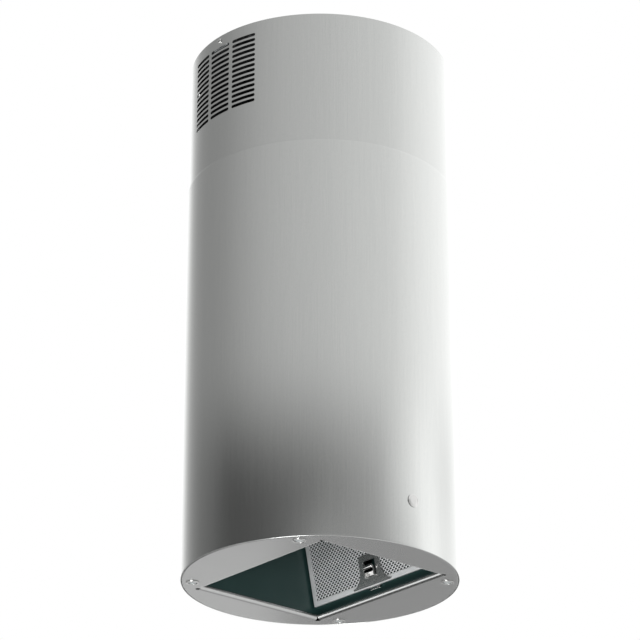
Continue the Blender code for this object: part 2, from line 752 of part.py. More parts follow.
def handle_outline():
    """Pressed plate with a wide foot, sides that flare in on a curve, and round top corners."""
    foot, neck, height, corner = 0.039, 0.0205, 0.045, 0.006
    flare_start, flare_height = 0.003, 0.026
    side = [(foot, 0), (foot, flare_start)]
    for i in range(1, 7):
        turn = math.pi / 2 * i / 6
        side.append((foot - (foot - neck) * math.sin(turn),
                     flare_start + (flare_height - flare_start) * (1 - math.cos(turn))))
    for i in range(5):
        turn = math.pi / 2 * i / 4
        side.append((neck - corner + corner * math.cos(turn), height - corner + corner * math.sin(turn)))
    return side + [(-x, y) for x, y in reversed(side)]


def grease_filter(name, turn):
    pivot_x, pivot_height = filter_pivot()
    # The right filter's X runs to -Y, and its Z leans into the recess; the left one is turned half round.
    axes = Matrix((
        (0, -math.sin(FILTER_LEAN), -math.cos(FILTER_LEAN)),
        (-1, 0, 0),
        (0, math.cos(FILTER_LEAN), -math.sin(FILTER_LEAN)),
    )).to_4x4()
    placed = Matrix.Rotation(turn, 4, "Z") @ Matrix.Translation((pivot_x, 0, pivot_height)) @ axes
    pivot = empty(f"filter_pivot_{name}", placed.to_translation(), UNDERSIDE, placed.to_3x3())
    half, length, depth, border = FILTER_HALF_WIDTH, FILTER_LENGTH, FILTER_DEPTH, FILTER_BORDER

    outside = filter_box((-half, 0, -depth), (half, length, 0))
    frame = part(f"filter_frame_{name}", outside, "aluminium", pivot)
    boolean(frame, filter_box((-half + border, border, -0.02), (half - border, length - border, 0.02)))
    wall, face = 0.002, 0.0012
    groove = filter_box((-half + wall, wall, -depth + face), (half - wall, length - wall, -face))
    boolean(frame, groove)
    latch_slot = filter_box((-0.0105, -0.01, -0.0046), (0.0105, border + 0.001, -0.0018))
    boolean(frame, latch_slot)
    reach = BOX_HALF[1] - GAP
    for side in (1, -1):
        pin = rod_mesh((side * (half - 0.001), 0, 0), (side * reach, 0, 0), FILTER_PIN_RADIUS)
        boolean(frame, pin, "UNION")

    inset = 0.0024
    panel_low, panel_high = (-half + inset, inset, -0.0022), (half - inset, length - inset, -0.0015)
    panel = part(f"filter_panel_{name}", filter_box(panel_low, panel_high), "aluminium", pivot)
    boolean(panel, filter_box((-0.0115, 0, -0.01), (0.0115, 0.0365, 0.01)))
    mesh_low, mesh_high = (-half + inset, inset, -0.0076), (half - inset, length - inset, -0.0049)
    part(f"filter_mesh_{name}", filter_box(mesh_low, mesh_high), "aluminium", pivot)

    window = rectangle(-0.0115, 0.016, 0.0115, 0.036)
    part(f"filter_handle_{name}", flat_mesh([handle_outline(), window], 0.0012), "plate_steel", pivot,
         filter_point(0, 0.001, GAP))

    bolt = filter_box((-0.0095, -0.0045, -0.0042), (0.0095, 0.034, -0.0024))
    latch = part(f"filter_latch_{name}", bolt, "polished_steel", pivot)
    tab = filter_box((-0.0085, 0.0175, -0.0030), (0.0085, 0.0290, 0.0030))
    boolean(latch, tab, "UNION")
    bar = rod_mesh(filter_point(-0.0100, 0.0268, 0.0050), filter_point(0.0100, 0.0268, 0.0050), 0.0028, 12)
    boolean(latch, bar, "UNION")


# Blower


def scroll_outline(inset):
    """Spiral round the impeller that ends in an upright outlet, in X and height from its axis."""
    steps = 28
    first, last = math.radians(80), math.radians(360)
    points = []
    for i in range(steps + 1):
        turn = first + (last - first) * i / steps
        radius = SCROLL_START + (SCROLL_END - SCROLL_START) * i / steps - inset
        points.append((radius * math.cos(turn), radius * math.sin(turn)))
    return points


def blower_housing():
    """Two half shells that meet in the middle of the impeller's width."""
    axis_x, axis_height = BLOWER_AXIS
    top = SCROLL_OUTLET_TOP - axis_height
    outer = scroll_outline(0)
    tongue_x, over = outer[0][0] - 0.004, 0.02
    outer += [(outer[-1][0], top), (tongue_x, top)]
    inner = scroll_outline(BLOWER_WALL)
    inner += [(inner[-1][0], top + over), (tongue_x + BLOWER_WALL, top + over)]
    for name, side in (("front", -1), ("back", 1)):
        half = BLOWER_HALF_WIDTH - GAP / 2
        shell = part(f"blower_housing_{name}", flat_mesh([outer], half), "grey_plastic")
        # The outline's plane stands upright, and each half grows away from the middle.
        start = GAP / 2 if side > 0 else -BLOWER_HALF_WIDTH
        shell.location = (axis_x, start + half, axis_height)
        shell.rotation_euler = (math.pi / 2, 0, 0)
        cut = flat_mesh([inner], half)
        boolean(shell, cut, "DIFFERENCE", Matrix.Translation((0, 0, side * BLOWER_WALL)))
        inlet = rod_mesh((0, 0, -over), (0, 0, half + over), INLET_RADIUS, 32)
        boolean(shell, inlet)


def impeller():
    """Squirrel cage: blades between two end rings, a web with a hub, and the shaft."""
    half, inner, outer = IMPELLER_HALF_WIDTH, IMPELLER_INNER, IMPELLER_RADIUS
    ring, web_low, web_high, hub, shaft = 0.0025, 0.002, 0.004, 0.012, 0.004
    hub_back, hub_front, shaft_end = 0.012, -0.008, -0.030
    blade_angle, half_blade = math.radians(24), 0.0006
    core = turned_mesh([
        (0, hub_back), (hub, hub_back), (hub, web_high), (outer, web_high), (outer, web_low),
        (hub, web_low), (hub, hub_front), (shaft, hub_front), (shaft, shaft_end), (0, shaft_end),
    ], 24)
    wheel = part("impeller", core, "black_plastic")
    wheel.location = (BLOWER_AXIS[0], 0, BLOWER_AXIS[1])
    wheel.rotation_euler = (-math.pi / 2, 0, 0)
    blade_half = half - 0.0005
    blade = box_mesh((inner - 0.001, -half_blade, -blade_half), (outer - 0.0008, half_blade, blade_half))
    sweep = Matrix.Translation((inner, 0, 0)) @ Matrix.Rotation(blade_angle, 4, "Z")
    sweep = sweep @ Matrix.Translation((-inner, 0, 0))
    blades = []
    for i in range(BLADES):
        copy = blade.copy()
        copy.transform(Matrix.Rotation(2 * math.pi * i / BLADES, 4, "Z") @ sweep)
        blades.append(copy)
    boolean(wheel, joined(blades), "UNION")
    rings = joined([
        turned_mesh([(outer, low + ring), (outer, low), (inner, low), (inner, low + ring)], 24)
        for low in (-half, half - ring)
    ])
    boolean(wheel, rings, "UNION")


def motor():
    """External motor can in the front half of the impeller, carried by a three-armed bracket."""
    axis_x, axis_height = BLOWER_AXIS
    bore, can, cap = 0.0045, 0.043, 0.030
    front, back = MOTOR_FACE, 0.012
    profile = [
        (0, front), (cap, front), (can, front - 0.006), (can, back + 0.004), (can - 0.006, back),
        (bore, back), (bore, back + 0.024), (0, back + 0.024),
    ]
    body = part("motor", turned_mesh(profile, 24), "galvanised_steel")
    body.location = (axis_x, 0, axis_height)
    body.rotation_euler = (math.pi / 2, 0, 0)
    face = BLOWER_HALF_WIDTH + GAP
    inner, rim, reach, arm = can + GAP, can + 0.006, 0.076, 0.006
    loops = [circle(rim, 24), circle(inner, 24)]
    bracket = part("motor_bracket", flat_mesh(loops, 0.002), "galvanised_steel")
    bracket.location = (axis_x, -face, axis_height)
    bracket.rotation_euler = (math.pi / 2, 0, 0)
    for i in range(3):
        spoke = box_mesh((rim - 0.003, -arm, 0), (reach, arm, 0.002))
        spoke.transform(Matrix.Rotation(math.radians(90 + 120 * i), 4, "Z"))
        boolean(bracket, spoke, "UNION")


def outlet_spigot():
    """Plastic outlet with a ledge under the damper flaps, a hole for each pin and a notch at its ends."""
    flange, collar_inner = 0.088, SPIGOT_RADIUS - 0.002
    flange_bottom, flange_top = BOX_TOP + GAP, BOX_TOP + 0.0023
    ledge_top, ledge_inner = FLAP_HEIGHT - 0.0013, 0.0695
    profile = [
        (SPIGOT_RADIUS, SPIGOT_TOP), (SPIGOT_RADIUS, flange_top), (flange, flange_top),
        (flange, flange_bottom), (collar_inner, flange_bottom), (collar_inner, ledge_top - 0.003),
        (ledge_inner, ledge_top - 0.0015), (ledge_inner, ledge_top), (collar_inner, ledge_top),
        (collar_inner, SPIGOT_TOP),
    ]
    spigot = part("outlet_spigot", turned_mesh(profile, 32), "black_plastic", location=(SPIGOT_X, 0, 0))
    reach = SPIGOT_RADIUS + 0.005
    notch_half, notch_near, notch_far = 0.0075, ledge_inner - 0.0003, collar_inner - 0.0002
    for side in (1, -1):
        pin_x = side * FLAP_AXIS
        pin_hole = rod_mesh((pin_x, -reach, FLAP_HEIGHT), (pin_x, reach, FLAP_HEIGHT), FLAP_PIN_HOLE, 12)
        boolean(spigot, pin_hole)
        low_y, high_y = sorted((side * notch_near, side * notch_far))
        boolean(spigot, box_mesh((-notch_half, low_y, ledge_top - 0.004), (notch_half, high_y, FLAP_HEIGHT)))


def damper(name, side):
    """Half-round flap on a barrel whose ends are its pins."""
    half_thickness, steps = 0.0008, 24
    barrel_radius, barrel_half, pin_half = 0.0020, 0.0690, 0.0744
    limit = math.acos((FLAP_AXIS + 0.0005) / FLAP_RADIUS)
    turns = [-limit + 2 * limit * i / steps for i in range(steps + 1)]
    outline = [(side * (FLAP_RADIUS * math.cos(t) - FLAP_AXIS), FLAP_RADIUS * math.sin(t)) for t in turns]
    flap = part(f"damper_{name}", flat_mesh([outline], 2 * half_thickness), "grey_plastic")
    flap.location = (SPIGOT_X + side * FLAP_AXIS, 0, FLAP_HEIGHT)
    flap.data.transform(Matrix.Translation((0, 0, -half_thickness)))
    boolean(flap, rod_mesh((0, -barrel_half, 0), (0, barrel_half, 0), barrel_radius, 12), "UNION")
    boolean(flap, rod_mesh((0, -pin_half, 0), (0, pin_half, 0), FLAP_PIN_RADIUS, 12), "UNION")


# Electronics and wiring


def electronics():
    """Box on the left of the filter box, with a cover, a circuit board and the mains cable's gland."""
    low_z, high_z = ELECTRONICS_SPAN
    half, depth, wall = ELECTRONICS_HALF_WIDTH, ELECTRONICS_DEPTH, ELECTRONICS_WALL
    over = 0.01
    back = -(BOX_HALF[0] + GAP)
    front, middle = back - depth, back - depth / 2
    box = part("electronics_box", box_mesh((front, -half, low_z), (back, half, high_z)), "black_plastic")
    inside_low, inside_high = (front - over, -half + wall, low_z + wall), (back - wall, half - wall, high_z - wall)
    boolean(box, box_mesh(inside_low, inside_high))
    entries = [(y, low_z, 0.0032) for y in LAMP_CABLE_ENTRIES]
    entries += [(MOTOR_CABLE_Y, high_z, 0.0050), (MAINS_CABLE_Y, high_z, 0.0080)]
    for y, z, radius in entries:
        boolean(box, rod_mesh((middle, y, z - over), (middle, y, z + over), radius))
    part("electronics_cover", box_mesh((front - GAP - wall, -half, low_z), (front - GAP, half, high_z)),
         "black_plastic")

    board_face, board_thickness = back - wall - 0.004, 0.0016
    board = part("circuit_board", box_mesh((board_face - board_thickness, -half + 0.006, low_z + 0.008),
                                           (board_face, half - 0.006, high_z - 0.010)), "board_green")
    # Transformer, capacitors and relay: low and high corners in Y and height, and how far they stand out
    components = (
        ((-0.040, 0.125), (-0.008, 0.157), 0.023),
        ((0.010, 0.130), (0.038, 0.150), 0.015),
        ((-0.036, 0.180), (-0.016, 0.196), 0.011),
        ((0.006, 0.175), (0.030, 0.205), 0.008),
    )
    for (low_y, bottom), (high_y, top), tall in components:
        root = board_face - board_thickness / 2
        boolean(board, box_mesh((board_face - tall, low_y, bottom), (root, high_y, top)), "UNION")

    outside, bore, thread = high_z + GAP, 0.0045, 0.0075
    nut, flange = 0.0085, 0.0110
    flange_top, nut_top, top = outside + 0.004, outside + 0.012, outside + 0.014
    inside = high_z - wall - 0.004
    profile = [
        (0.0062, top), (nut, nut_top), (nut, flange_top), (flange, flange_top), (flange, outside),
        (thread, outside), (thread, inside), (bore, inside), (bore, top),
    ]
    part("cable_gland", turned_mesh(profile, 16), "grey_plastic", location=(middle, MAINS_CABLE_Y, 0))


def wiring():
    """Lamp cables run below the ring plate, and the motor's cable goes through the box wall."""
    lamp_cable_radius, motor_cable_radius = 0.0020, 0.0028
    entry_x = -(BOX_HALF[0] + GAP + ELECTRONICS_DEPTH / 2)
    low_entry, high_entry = ELECTRONICS_SPAN[0] + 0.006, ELECTRONICS_SPAN[1] - 0.006
    x, y = LAMP_PLACE
    start = LAMP_TOP + GAP
    for number, (across, deep) in enumerate(QUADRANTS, 1):
        entry_y = deep * LAMP_CABLE_ENTRIES[2 if across > 0 else 3]
        rise = [(across * x, deep * y, start), (across * x, deep * y, start + 0.012)]
        if across > 0:
            route = [
                (0.1270, 0.1270, 0.050), (0.105, 0.142, 0.060), (0.060, 0.152, 0.066), (0.0, 0.158, 0.070),
                (-0.060, 0.152, 0.072), (-0.105, 0.142, 0.074), (-0.1330, 0.1180, 0.077),
                (-0.1440, 0.080, 0.080), (-0.1430, 0.040, 0.086), (entry_x, abs(entry_y), 0.096),
            ]
        else:
            route = [(-0.1350, 0.100, 0.046), (-0.1380, 0.060, 0.062), (entry_x, abs(entry_y), 0.092)]
        route = [(px, deep * py, height) for px, py, height in route]
        entering = [(entry_x, entry_y, 0.104), (entry_x, entry_y, low_entry)]
        cable(f"lamp_cable_{number}", [*rise, *route, *entering], lamp_cable_radius)
    motor_x, motor_height = BLOWER_AXIS[0] - 0.020, BLOWER_AXIS[1]
    cable("motor_cable", [
        (entry_x, MOTOR_CABLE_Y, high_entry), (entry_x, MOTOR_CABLE_Y, ELECTRONICS_SPAN[1] + 0.012),
        (-0.130, MOTOR_CABLE_Y, MOTOR_CABLE_HEIGHT - 0.003), (-0.118, MOTOR_CABLE_Y, MOTOR_CABLE_HEIGHT),
        (-0.100, MOTOR_CABLE_Y, 0.284), (-0.096, 0.0, 0.296), (-0.100, -0.060, 0.310),
        (-0.096, -0.092, 0.345), (-0.075, -0.100, 0.385),
        (motor_x, -0.094, motor_height - 0.006), (motor_x, -0.084, motor_height),
        (motor_x, -(MOTOR_FACE + GAP), motor_height),
    ], motor_cable_radius)


def build():
    ceiling_plate()
    rails()
    upper_chimney()
    air_deflector()
    flexible_duct()
    lower_chimney()
    bottom_plate()
    lamps()
    hood_body()
    recess_cap()
    tube_ring()
    badge()
    grease_filter("right", 0)
    grease_filter("left", math.pi)
    blower_housing()
    impeller()
    motor()
    outlet_spigot()
    damper("right", 1)
    damper("left", -1)
    electronics()
    wiring()


build()
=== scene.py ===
"""Looks, light and camera for the island range hood.

Metres, in the row frame: +Z up, from the middle of the ceiling plate's top face.
The front, with the badge, is -Y, and the left grille is -X.
"""

import json
import math

import bmesh
import bpy
from mathutils import Matrix, Vector


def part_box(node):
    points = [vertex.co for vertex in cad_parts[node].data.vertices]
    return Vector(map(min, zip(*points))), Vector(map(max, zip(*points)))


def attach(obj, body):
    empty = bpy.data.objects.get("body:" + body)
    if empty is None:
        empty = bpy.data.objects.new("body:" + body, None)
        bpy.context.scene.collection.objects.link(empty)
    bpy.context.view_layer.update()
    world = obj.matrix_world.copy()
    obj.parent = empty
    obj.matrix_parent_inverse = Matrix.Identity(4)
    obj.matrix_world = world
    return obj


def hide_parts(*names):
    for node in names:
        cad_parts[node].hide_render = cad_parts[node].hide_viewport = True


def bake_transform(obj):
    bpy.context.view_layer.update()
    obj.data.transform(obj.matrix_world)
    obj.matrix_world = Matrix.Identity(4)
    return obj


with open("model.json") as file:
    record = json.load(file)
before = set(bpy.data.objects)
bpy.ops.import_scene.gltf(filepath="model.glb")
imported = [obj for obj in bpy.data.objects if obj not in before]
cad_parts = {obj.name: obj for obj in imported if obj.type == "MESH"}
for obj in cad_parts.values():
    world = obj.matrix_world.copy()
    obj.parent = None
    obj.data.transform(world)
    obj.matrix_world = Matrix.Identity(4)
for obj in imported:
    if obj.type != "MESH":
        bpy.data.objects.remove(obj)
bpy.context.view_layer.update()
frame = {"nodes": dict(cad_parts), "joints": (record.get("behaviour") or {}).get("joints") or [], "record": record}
NODES = frame["nodes"]
JOINTS = {joint["name"]: joint for joint in frame["joints"]}
BODY_OF = {node: body for body, nodes in frame["record"]["behaviour"]["bodies"].items() for node in nodes}
SLOT_OF = {subpart["node"]: subpart["material_slot"] for subpart in frame["record"]["subparts"]}

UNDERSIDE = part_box("bottom_plate")[0].z
SIDES = (("right", 1), ("left", -1))
QUADRANTS = ((1, -1), (1, 1), (-1, 1), (-1, -1))

# Tubes and grilles
TUBE_STEPS = 256
TUBE_WALL = 0.001
TUBE_LIP = 0.00045
SCREW_HOLE_RADIUS = 0.0023
VENT_CUT_DEPTH = 0.012
VENT_COLUMNS, VENT_ROWS = 3, 14
VENT_COLUMN_PITCH = math.radians(14.15)
VENT_SLOT_SPAN = math.radians(12.35)
VENT_ROW_PITCH = 0.008
VENT_SLOT_HEIGHT = 0.0048
VENT_TOP_ROW = -0.021

# Bottom plate
OPENING_HALF = (0.110, 0.133)
BEND_RADIUS = 0.005
FLANGE_TOP = 0.0065
PLATE_SHEET = 0.0012
PLATE_EDGE_RADIUS = 0.0016
RELIEF_RADIUS = 0.0037
RELIEF_INSET = 0.0022
PLATE_LIP = 0.0002
LAMP_HOLE_RADIUS = 0.0078
LAMP_STEPS = 48

# Filter panels: rows of oval holes, every other row moved by half a pitch
HOLE_PITCH = 0.0068
HOLE_ROW_PITCH = 0.0030
HOLE_HALF = (0.0025, 0.00142)

# Filter handles and latches: the handle's window as its two corners, and the tab's slope
HANDLE_NECK = 0.0205
HANDLE_WINDOW = ((-0.0115, 0.0130), (0.0115, 0.036))
LATCH_TAB_RISE = math.radians(24)

# Camera: it stands low beside the hood and looks up at it
CAMERA_AZIMUTH = math.radians(-40.5)
CAMERA_DISTANCE = 3.80
CAMERA_DROP = 1.276
CAMERA_TILT = math.radians(23.67)
CAMERA_LENS = 165
FLOOR_DEPTH = 4.6
FLOOR_RADIUS = 60


# Mesh tools


def welded(mesh):
    """The same mesh with shared corners joined and its faces pointing outwards."""
    bm = bmesh.new()
    bm.from_mesh(mesh)
    bmesh.ops.remove_doubles(bm, verts=bm.verts, dist=1e-6)
    bmesh.ops.recalc_face_normals(bm, faces=bm.faces)
    bm.to_mesh(mesh)
    bm.free()
    return mesh


def new_mesh(name, points, faces, smooth_angle=35):
    mesh = bpy.data.meshes.new(name)
    mesh.from_pydata(points, [], faces)
    mesh.update()
    welded(mesh)
    mesh.shade_smooth()
    mesh.set_sharp_from_angle(angle=math.radians(smooth_angle))
    return mesh


def turned(name, profile, steps):
    """The solid that a closed (radius, height) profile makes about Z."""
    points, faces, count = [], [], len(profile)
    for step in range(steps):
        turn = 2 * math.pi * step / steps
        points += [(r * math.cos(turn), r * math.sin(turn), z) for r, z in profile]
    for step in range(steps):
        here, there = step * count, (step + 1) % steps * count
        for i in range(count):
            j = (i + 1) % count
            corners = [here + i, here + j, there + j, there + i]
            if profile[i][0] == 0:
                corners.remove(there + i)
            if profile[j][0] == 0:
                corners.remove(there + j)
            if len(corners) > 2:
                faces.append(corners)
    return new_mesh(name, points, faces)


def arc(centre, radius, start, end, steps):
    """Points on an arc, with angles in degrees."""
    turns = [math.radians(start + (end - start) * i / steps) for i in range(steps + 1)]
    return [(centre[0] + radius * math.cos(t), centre[1] + radius * math.sin(t)) for t in turns]


def lipped_wall(outer, inner, low, high, lip):
    """The profile of a tube wall with round lips. A ring near each lip keeps the wall's shading straight."""
    keep = 6 * lip
    return [
        *arc((outer - lip, low + lip), lip, -90, 0, 3), (outer, low + keep),
        (outer, high - keep), *arc((outer - lip, high - lip), lip, 0, 90, 3),
        *arc((inner + lip, high - lip), lip, 90, 180, 3), (inner, high - keep),
        (inner, low + keep), *arc((inner + lip, low + lip), lip, 180, 270, 3),
    ]


def filled(name, loops, thickness):
    """A flat plate in XY, from z = 0 up. The first loop is its outline and the others are holes."""
    curve = bpy.data.curves.new(name, "CURVE")
    curve.dimensions = "2D"
    curve.fill_mode = "BOTH"
    curve.extrude = thickness / 2
    for loop in loops:
        spline = curve.splines.new("POLY")
        spline.points.add(len(loop) - 1)
        for point, (x, y) in zip(spline.points, loop):
            point.co = (x, y, thickness / 2, 1)
        spline.use_cyclic_u = True
    plate = bpy.data.objects.new(name, curve)
    bpy.context.scene.collection.objects.link(plate)
    mesh = evaluated(plate)
    bpy.data.objects.remove(plate)
    mesh.transform(Matrix.Translation((0, 0, -min(vertex.co.z for vertex in mesh.vertices))))
    return welded(mesh)


def evaluated(obj):
    bpy.context.view_layer.update()
    return bpy.data.meshes.new_from_object(obj.evaluated_get(bpy.context.evaluated_depsgraph_get()))


def quarter(steps):
    """Angles from 0 to a right angle."""
    return [math.pi / 2 * i / steps for i in range(steps + 1)]


def bar(name, start, end, radius, steps=24):
    """A round bar with domed ends."""
    along = Vector(end) - Vector(start)
    dome = radius * 0.6
    profile = [(0, 0), *[(radius * math.sin(t), dome * (1 - math.cos(t))) for t in quarter(5)][1:]]
    profile += [(r, along.length - z) for r, z in reversed(profile)]
    mesh = turned(name, profile, steps)
    mesh.transform(Matrix.Translation(start) @ along.to_track_quat("Z", "Y").to_matrix().to_4x4())
    return mesh


def slab(low, high):
    """A plain block, given as two corners. Its edges are rounded by round_edges()."""
    xs, ys, zs = zip(low, high)
    points = [(x, y, z) for z in zs for y in ys for x in xs]
    faces = [(0, 2, 3, 1), (4, 5, 7, 6), (0, 1, 5, 4), (2, 6, 7, 3), (0, 4, 6, 2), (1, 3, 7, 5)]
    return new_mesh("slab", points, faces)


def joined(name, meshes):
    """One mesh that holds all the meshes."""
    bm = bmesh.new()
    for mesh in meshes:
        bm.from_mesh(mesh)
    whole = bpy.data.meshes.new(name)
    bm.to_mesh(whole)
    bm.free()
    return whole


def cut(obj, cutter_mesh):
    """The object's mesh without the part that the cutter fills."""
    cutter = bpy.data.objects.new("cutter", cutter_mesh)
    bpy.context.scene.collection.objects.link(cutter)
    modifier = obj.modifiers.new("cut", "BOOLEAN")
    modifier.operation, modifier.solver, modifier.object = "DIFFERENCE", "EXACT", cutter
    mesh = evaluated(obj)
    obj.modifiers.remove(modifier)
    bpy.data.objects.remove(cutter)
    return mesh


def round_edges(obj, width, segments=2):
    """Rounds the sharp edges and keeps the flat faces flat in shading."""
    bevel = obj.modifiers.new("round", "BEVEL")
    bevel.width = width
    bevel.segments = segments
    bevel.limit_method = "ANGLE"
    bevel.angle_limit = math.radians(35)
    bevel.harden_normals = True
    return obj


def even_normals(obj):
    """Large flat faces keep their own normal, and rounded edges blend between them."""
    weighted = obj.modifiers.new("even", "WEIGHTED_NORMAL")
    weighted.keep_sharp = True
    return obj


def piece(name, mesh, node, matrix=None, rides=True):
    """A detailed piece that stands for a CAD node, on its body and with its material slot."""
    obj = bpy.data.objects.new(name, mesh)
    bpy.context.scene.collection.objects.link(obj)
    if matrix is not None:
        obj.matrix_world = matrix
    mesh.materials.clear()
    mesh.materials.append(MATERIALS[SLOT_OF[node]])
    if rides:
        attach(obj, BODY_OF[node])
    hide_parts(node)
    return obj


# Materials


class Surface:
    """A procedural material on one Principled shader, with short names for the nodes that feed it."""

    def __init__(self, name, colour, roughness, metallic=0.0, **constants):
        self.material = bpy.data.materials.new(name)
        self.material.use_nodes = True
        self.tree = self.material.node_tree
        self.shader = self.tree.nodes["Principled BSDF"]
        self.shader.inputs["Metallic"].default_value = metallic
        self.shader.inputs["Roughness"].default_value = roughness
        self.shader.inputs["Base Color"].default_value = (*colour, 1)
        for socket, value in constants.items():
            self.shader.inputs[socket.replace("_", " ")].default_value = value
        self.place = self.add("ShaderNodeTexCoord").outputs["Object"]

    def add(self, kind, inputs=None, **settings):
        node = self.tree.nodes.new(kind)
        for key, value in settings.items():
            setattr(node, key, value)
        for socket, value in (inputs or {}).items():
            self.feed(node, socket, value)
        return node

    def feed(self, node, socket, value):
        if isinstance(value, bpy.types.NodeSocket):
            self.tree.links.new(value, node.inputs[socket])
        else:
            node.inputs[socket].default_value = value

    def noise(self, scale, detail=3.0, roughness=0.5, distortion=0.0):
        """Noise from 0 to 1, with a scale for each direction."""
        mapping = self.add("ShaderNodeMapping", {"Vector": self.place, "Scale": scale})
        return self.add("ShaderNodeTexNoise", {
            "Vector": mapping.outputs[0], "Scale": 1.0, "Detail": detail, "Roughness": roughness,
            "Distortion": distortion,
        }).outputs[0]

    def cells(self, scale, output="Distance"):
        """Cells round scattered points: the distance to the nearest point, or a colour for each cell."""
        mapping = self.add("ShaderNodeMapping", {"Vector": self.place, "Scale": scale})
        return self.add("ShaderNodeTexVoronoi", {"Vector": mapping.outputs[0], "Scale": 1.0}).outputs[output]

    def spread(self, value, low, high, new_low=0.0, new_high=1.0):
        """The range low to high, stretched to new_low to new_high."""
        return self.add("ShaderNodeMapRange", {
            0: value, 1: low, 2: high, 3: new_low, 4: new_high,
        }).outputs[0]

    def plus(self, first, second):
        return self.add("ShaderNodeMath", {0: first, 1: second}, operation="ADD").outputs[0]

    def times(self, first, second):
        return self.add("ShaderNodeMath", {0: first, 1: second}, operation="MULTIPLY").outputs[0]

    def colours(self, amount, first, second):
        """From the first colour to the second, as the amount goes from 0 to 1."""
        mix = self.add("ShaderNodeMix", {"Factor": amount, 6: (*first, 1), 7: (*second, 1)}, data_type="RGBA")
        return mix.outputs[2]

    def colour(self, value):
        self.tree.links.new(value, self.shader.inputs["Base Color"])

    def roughness(self, value):
        self.tree.links.new(value, self.shader.inputs["Roughness"])

    def bump(self, height, depth, strength=1.0):
        """Relief of a given depth in metres."""
        before = self.shader.inputs["Normal"]
        node = self.add("ShaderNodeBump", {"Height": height, "Strength": strength, "Distance": depth})
        if before.is_linked:
            self.tree.links.new(before.links[0].from_socket, node.inputs["Normal"])
        self.tree.links.new(node.outputs[0], before)


def brushed_steel(name, shade=1.0):
    """Tubes: satin stainless steel, brushed up and down. A shade below 1 makes a darker copy of the same steel:
    painted shade.
    """
    def tint(*colour):
        return tuple(shade * part for part in colour)

    steel = Surface(name, tint(0.612, 0.622, 0.610), 0.13, 1.0, Anisotropic=0.9)
    tangent = steel.add("ShaderNodeTangent", direction_type="RADIAL", axis="Z")
    steel.tree.links.new(tangent.outputs[0], steel.shader.inputs["Tangent"])
    fine = steel.noise((2600, 2600, 22), 2)
    streaks = steel.noise((700, 700, 5), 3, 0.5)
    speckle = steel.noise((720, 720, 420), 3, 0.7)
    clouds = steel.noise((9, 9, 5), 3)
    tone = steel.plus(steel.times(fine, 0.35), steel.times(streaks, 0.20))
    tone = steel.plus(tone, steel.times(speckle, 0.45))
    dark, light = tint(0.582, 0.594, 0.584), tint(0.642, 0.650, 0.636)
    steel.colour(steel.colours(steel.spread(tone, 0.35, 0.65), dark, light))
    grain, drift = steel.spread(tone, 0.3, 0.7, 0.12, 0.14), steel.spread(clouds, 0.3, 0.7, -0.005, 0.005)
    steel.roughness(steel.plus(grain, drift))
    steel.bump(fine, 0.00001, 0.4)
    return steel.material


def plate_steel():
    """Bottom plate and filter handles: satin stainless steel, brushed from left to right."""
    steel = Surface("plate_steel", (0.52, 0.525, 0.52), 0.24, 0.9)
    fine = steel.noise((24, 2600, 2600), 2)
    streaks = steel.noise((8, 800, 800), 3, 0.5)
    clouds = steel.noise((14, 14, 14), 3)
    tone = steel.plus(steel.times(fine, 0.6), steel.times(streaks, 0.4))
    steel.colour(steel.colours(steel.spread(tone, 0.3, 0.7), (0.50, 0.505, 0.50), (0.545, 0.55, 0.545)))
    grain, drift = steel.spread(tone, 0.3, 0.7, 0.22, 0.27), steel.spread(clouds, 0.3, 0.7, -0.01, 0.01)
    steel.roughness(steel.plus(grain, drift))
    steel.bump(tone, 0.00001, 0.5)
    return steel.material


def dark_sheet():
    """Filter box: semi-gloss powder coat with a slight orange peel, in a dark teal that is painted shade: the
    colour of the wall in shadow, green cast included.
    """
    # The dark teal base colour is painted shade.
    paint = Surface("dark_sheet", (0.014, 0.038, 0.036), 0.34, 0.0)
    peel = paint.noise((700, 700, 700), 2)
    clouds = paint.noise((30, 30, 30), 4)
    # Random clouds between two dark teals, both painted shade.
    paint.colour(paint.colours(clouds, (0.012, 0.034, 0.032), (0.017, 0.043, 0.040)))
    paint.roughness(paint.spread(clouds, 0.3, 0.7, 0.30, 0.40))
    paint.bump(peel, 0.00006, 0.35)
    return paint.material


def galvanised_steel():
    """Ceiling plate, rails and brackets: zinc with its spangle."""
    zinc = Surface("galvanised_steel", (0.55, 0.57, 0.58), 0.45, 1.0)
    spangle = zinc.cells((110, 110, 110), output="Color")
    grey = zinc.add("ShaderNodeSeparateColor", {"Color": spangle}).outputs[0]
    dust = zinc.noise((60, 60, 60), 5, 0.6)
    tone = zinc.plus(zinc.times(grey, 0.6), zinc.times(dust, 0.4))
    zinc.colour(zinc.colours(tone, (0.42, 0.44, 0.455), (0.66, 0.68, 0.69)))
    zinc.roughness(zinc.spread(tone, 0.2, 0.8, 0.36, 0.56))
    zinc.bump(dust, 0.00004, 0.4)
    return zinc.material


def polished_steel():
    """Lamp rims, latches, screws and the badge: polished, with fine wipe marks."""
    steel = Surface("polished_steel", (0.64, 0.64, 0.63), 0.16, 1.0)
    wipes = steel.noise((900, 120, 900), 3, distortion=0.6)
    smudge = steel.noise((80, 80, 80), 3)
    gloss, grease = steel.spread(wipes, 0.3, 0.7, 0.12, 0.20), steel.spread(smudge, 0.4, 0.7, 0, 0.06)
    steel.roughness(steel.plus(gloss, grease))
    steel.colour(steel.colours(smudge, (0.60, 0.60, 0.59), (0.68, 0.68, 0.67)))
    steel.bump(wipes, 0.00001, 0.4)
    return steel.material


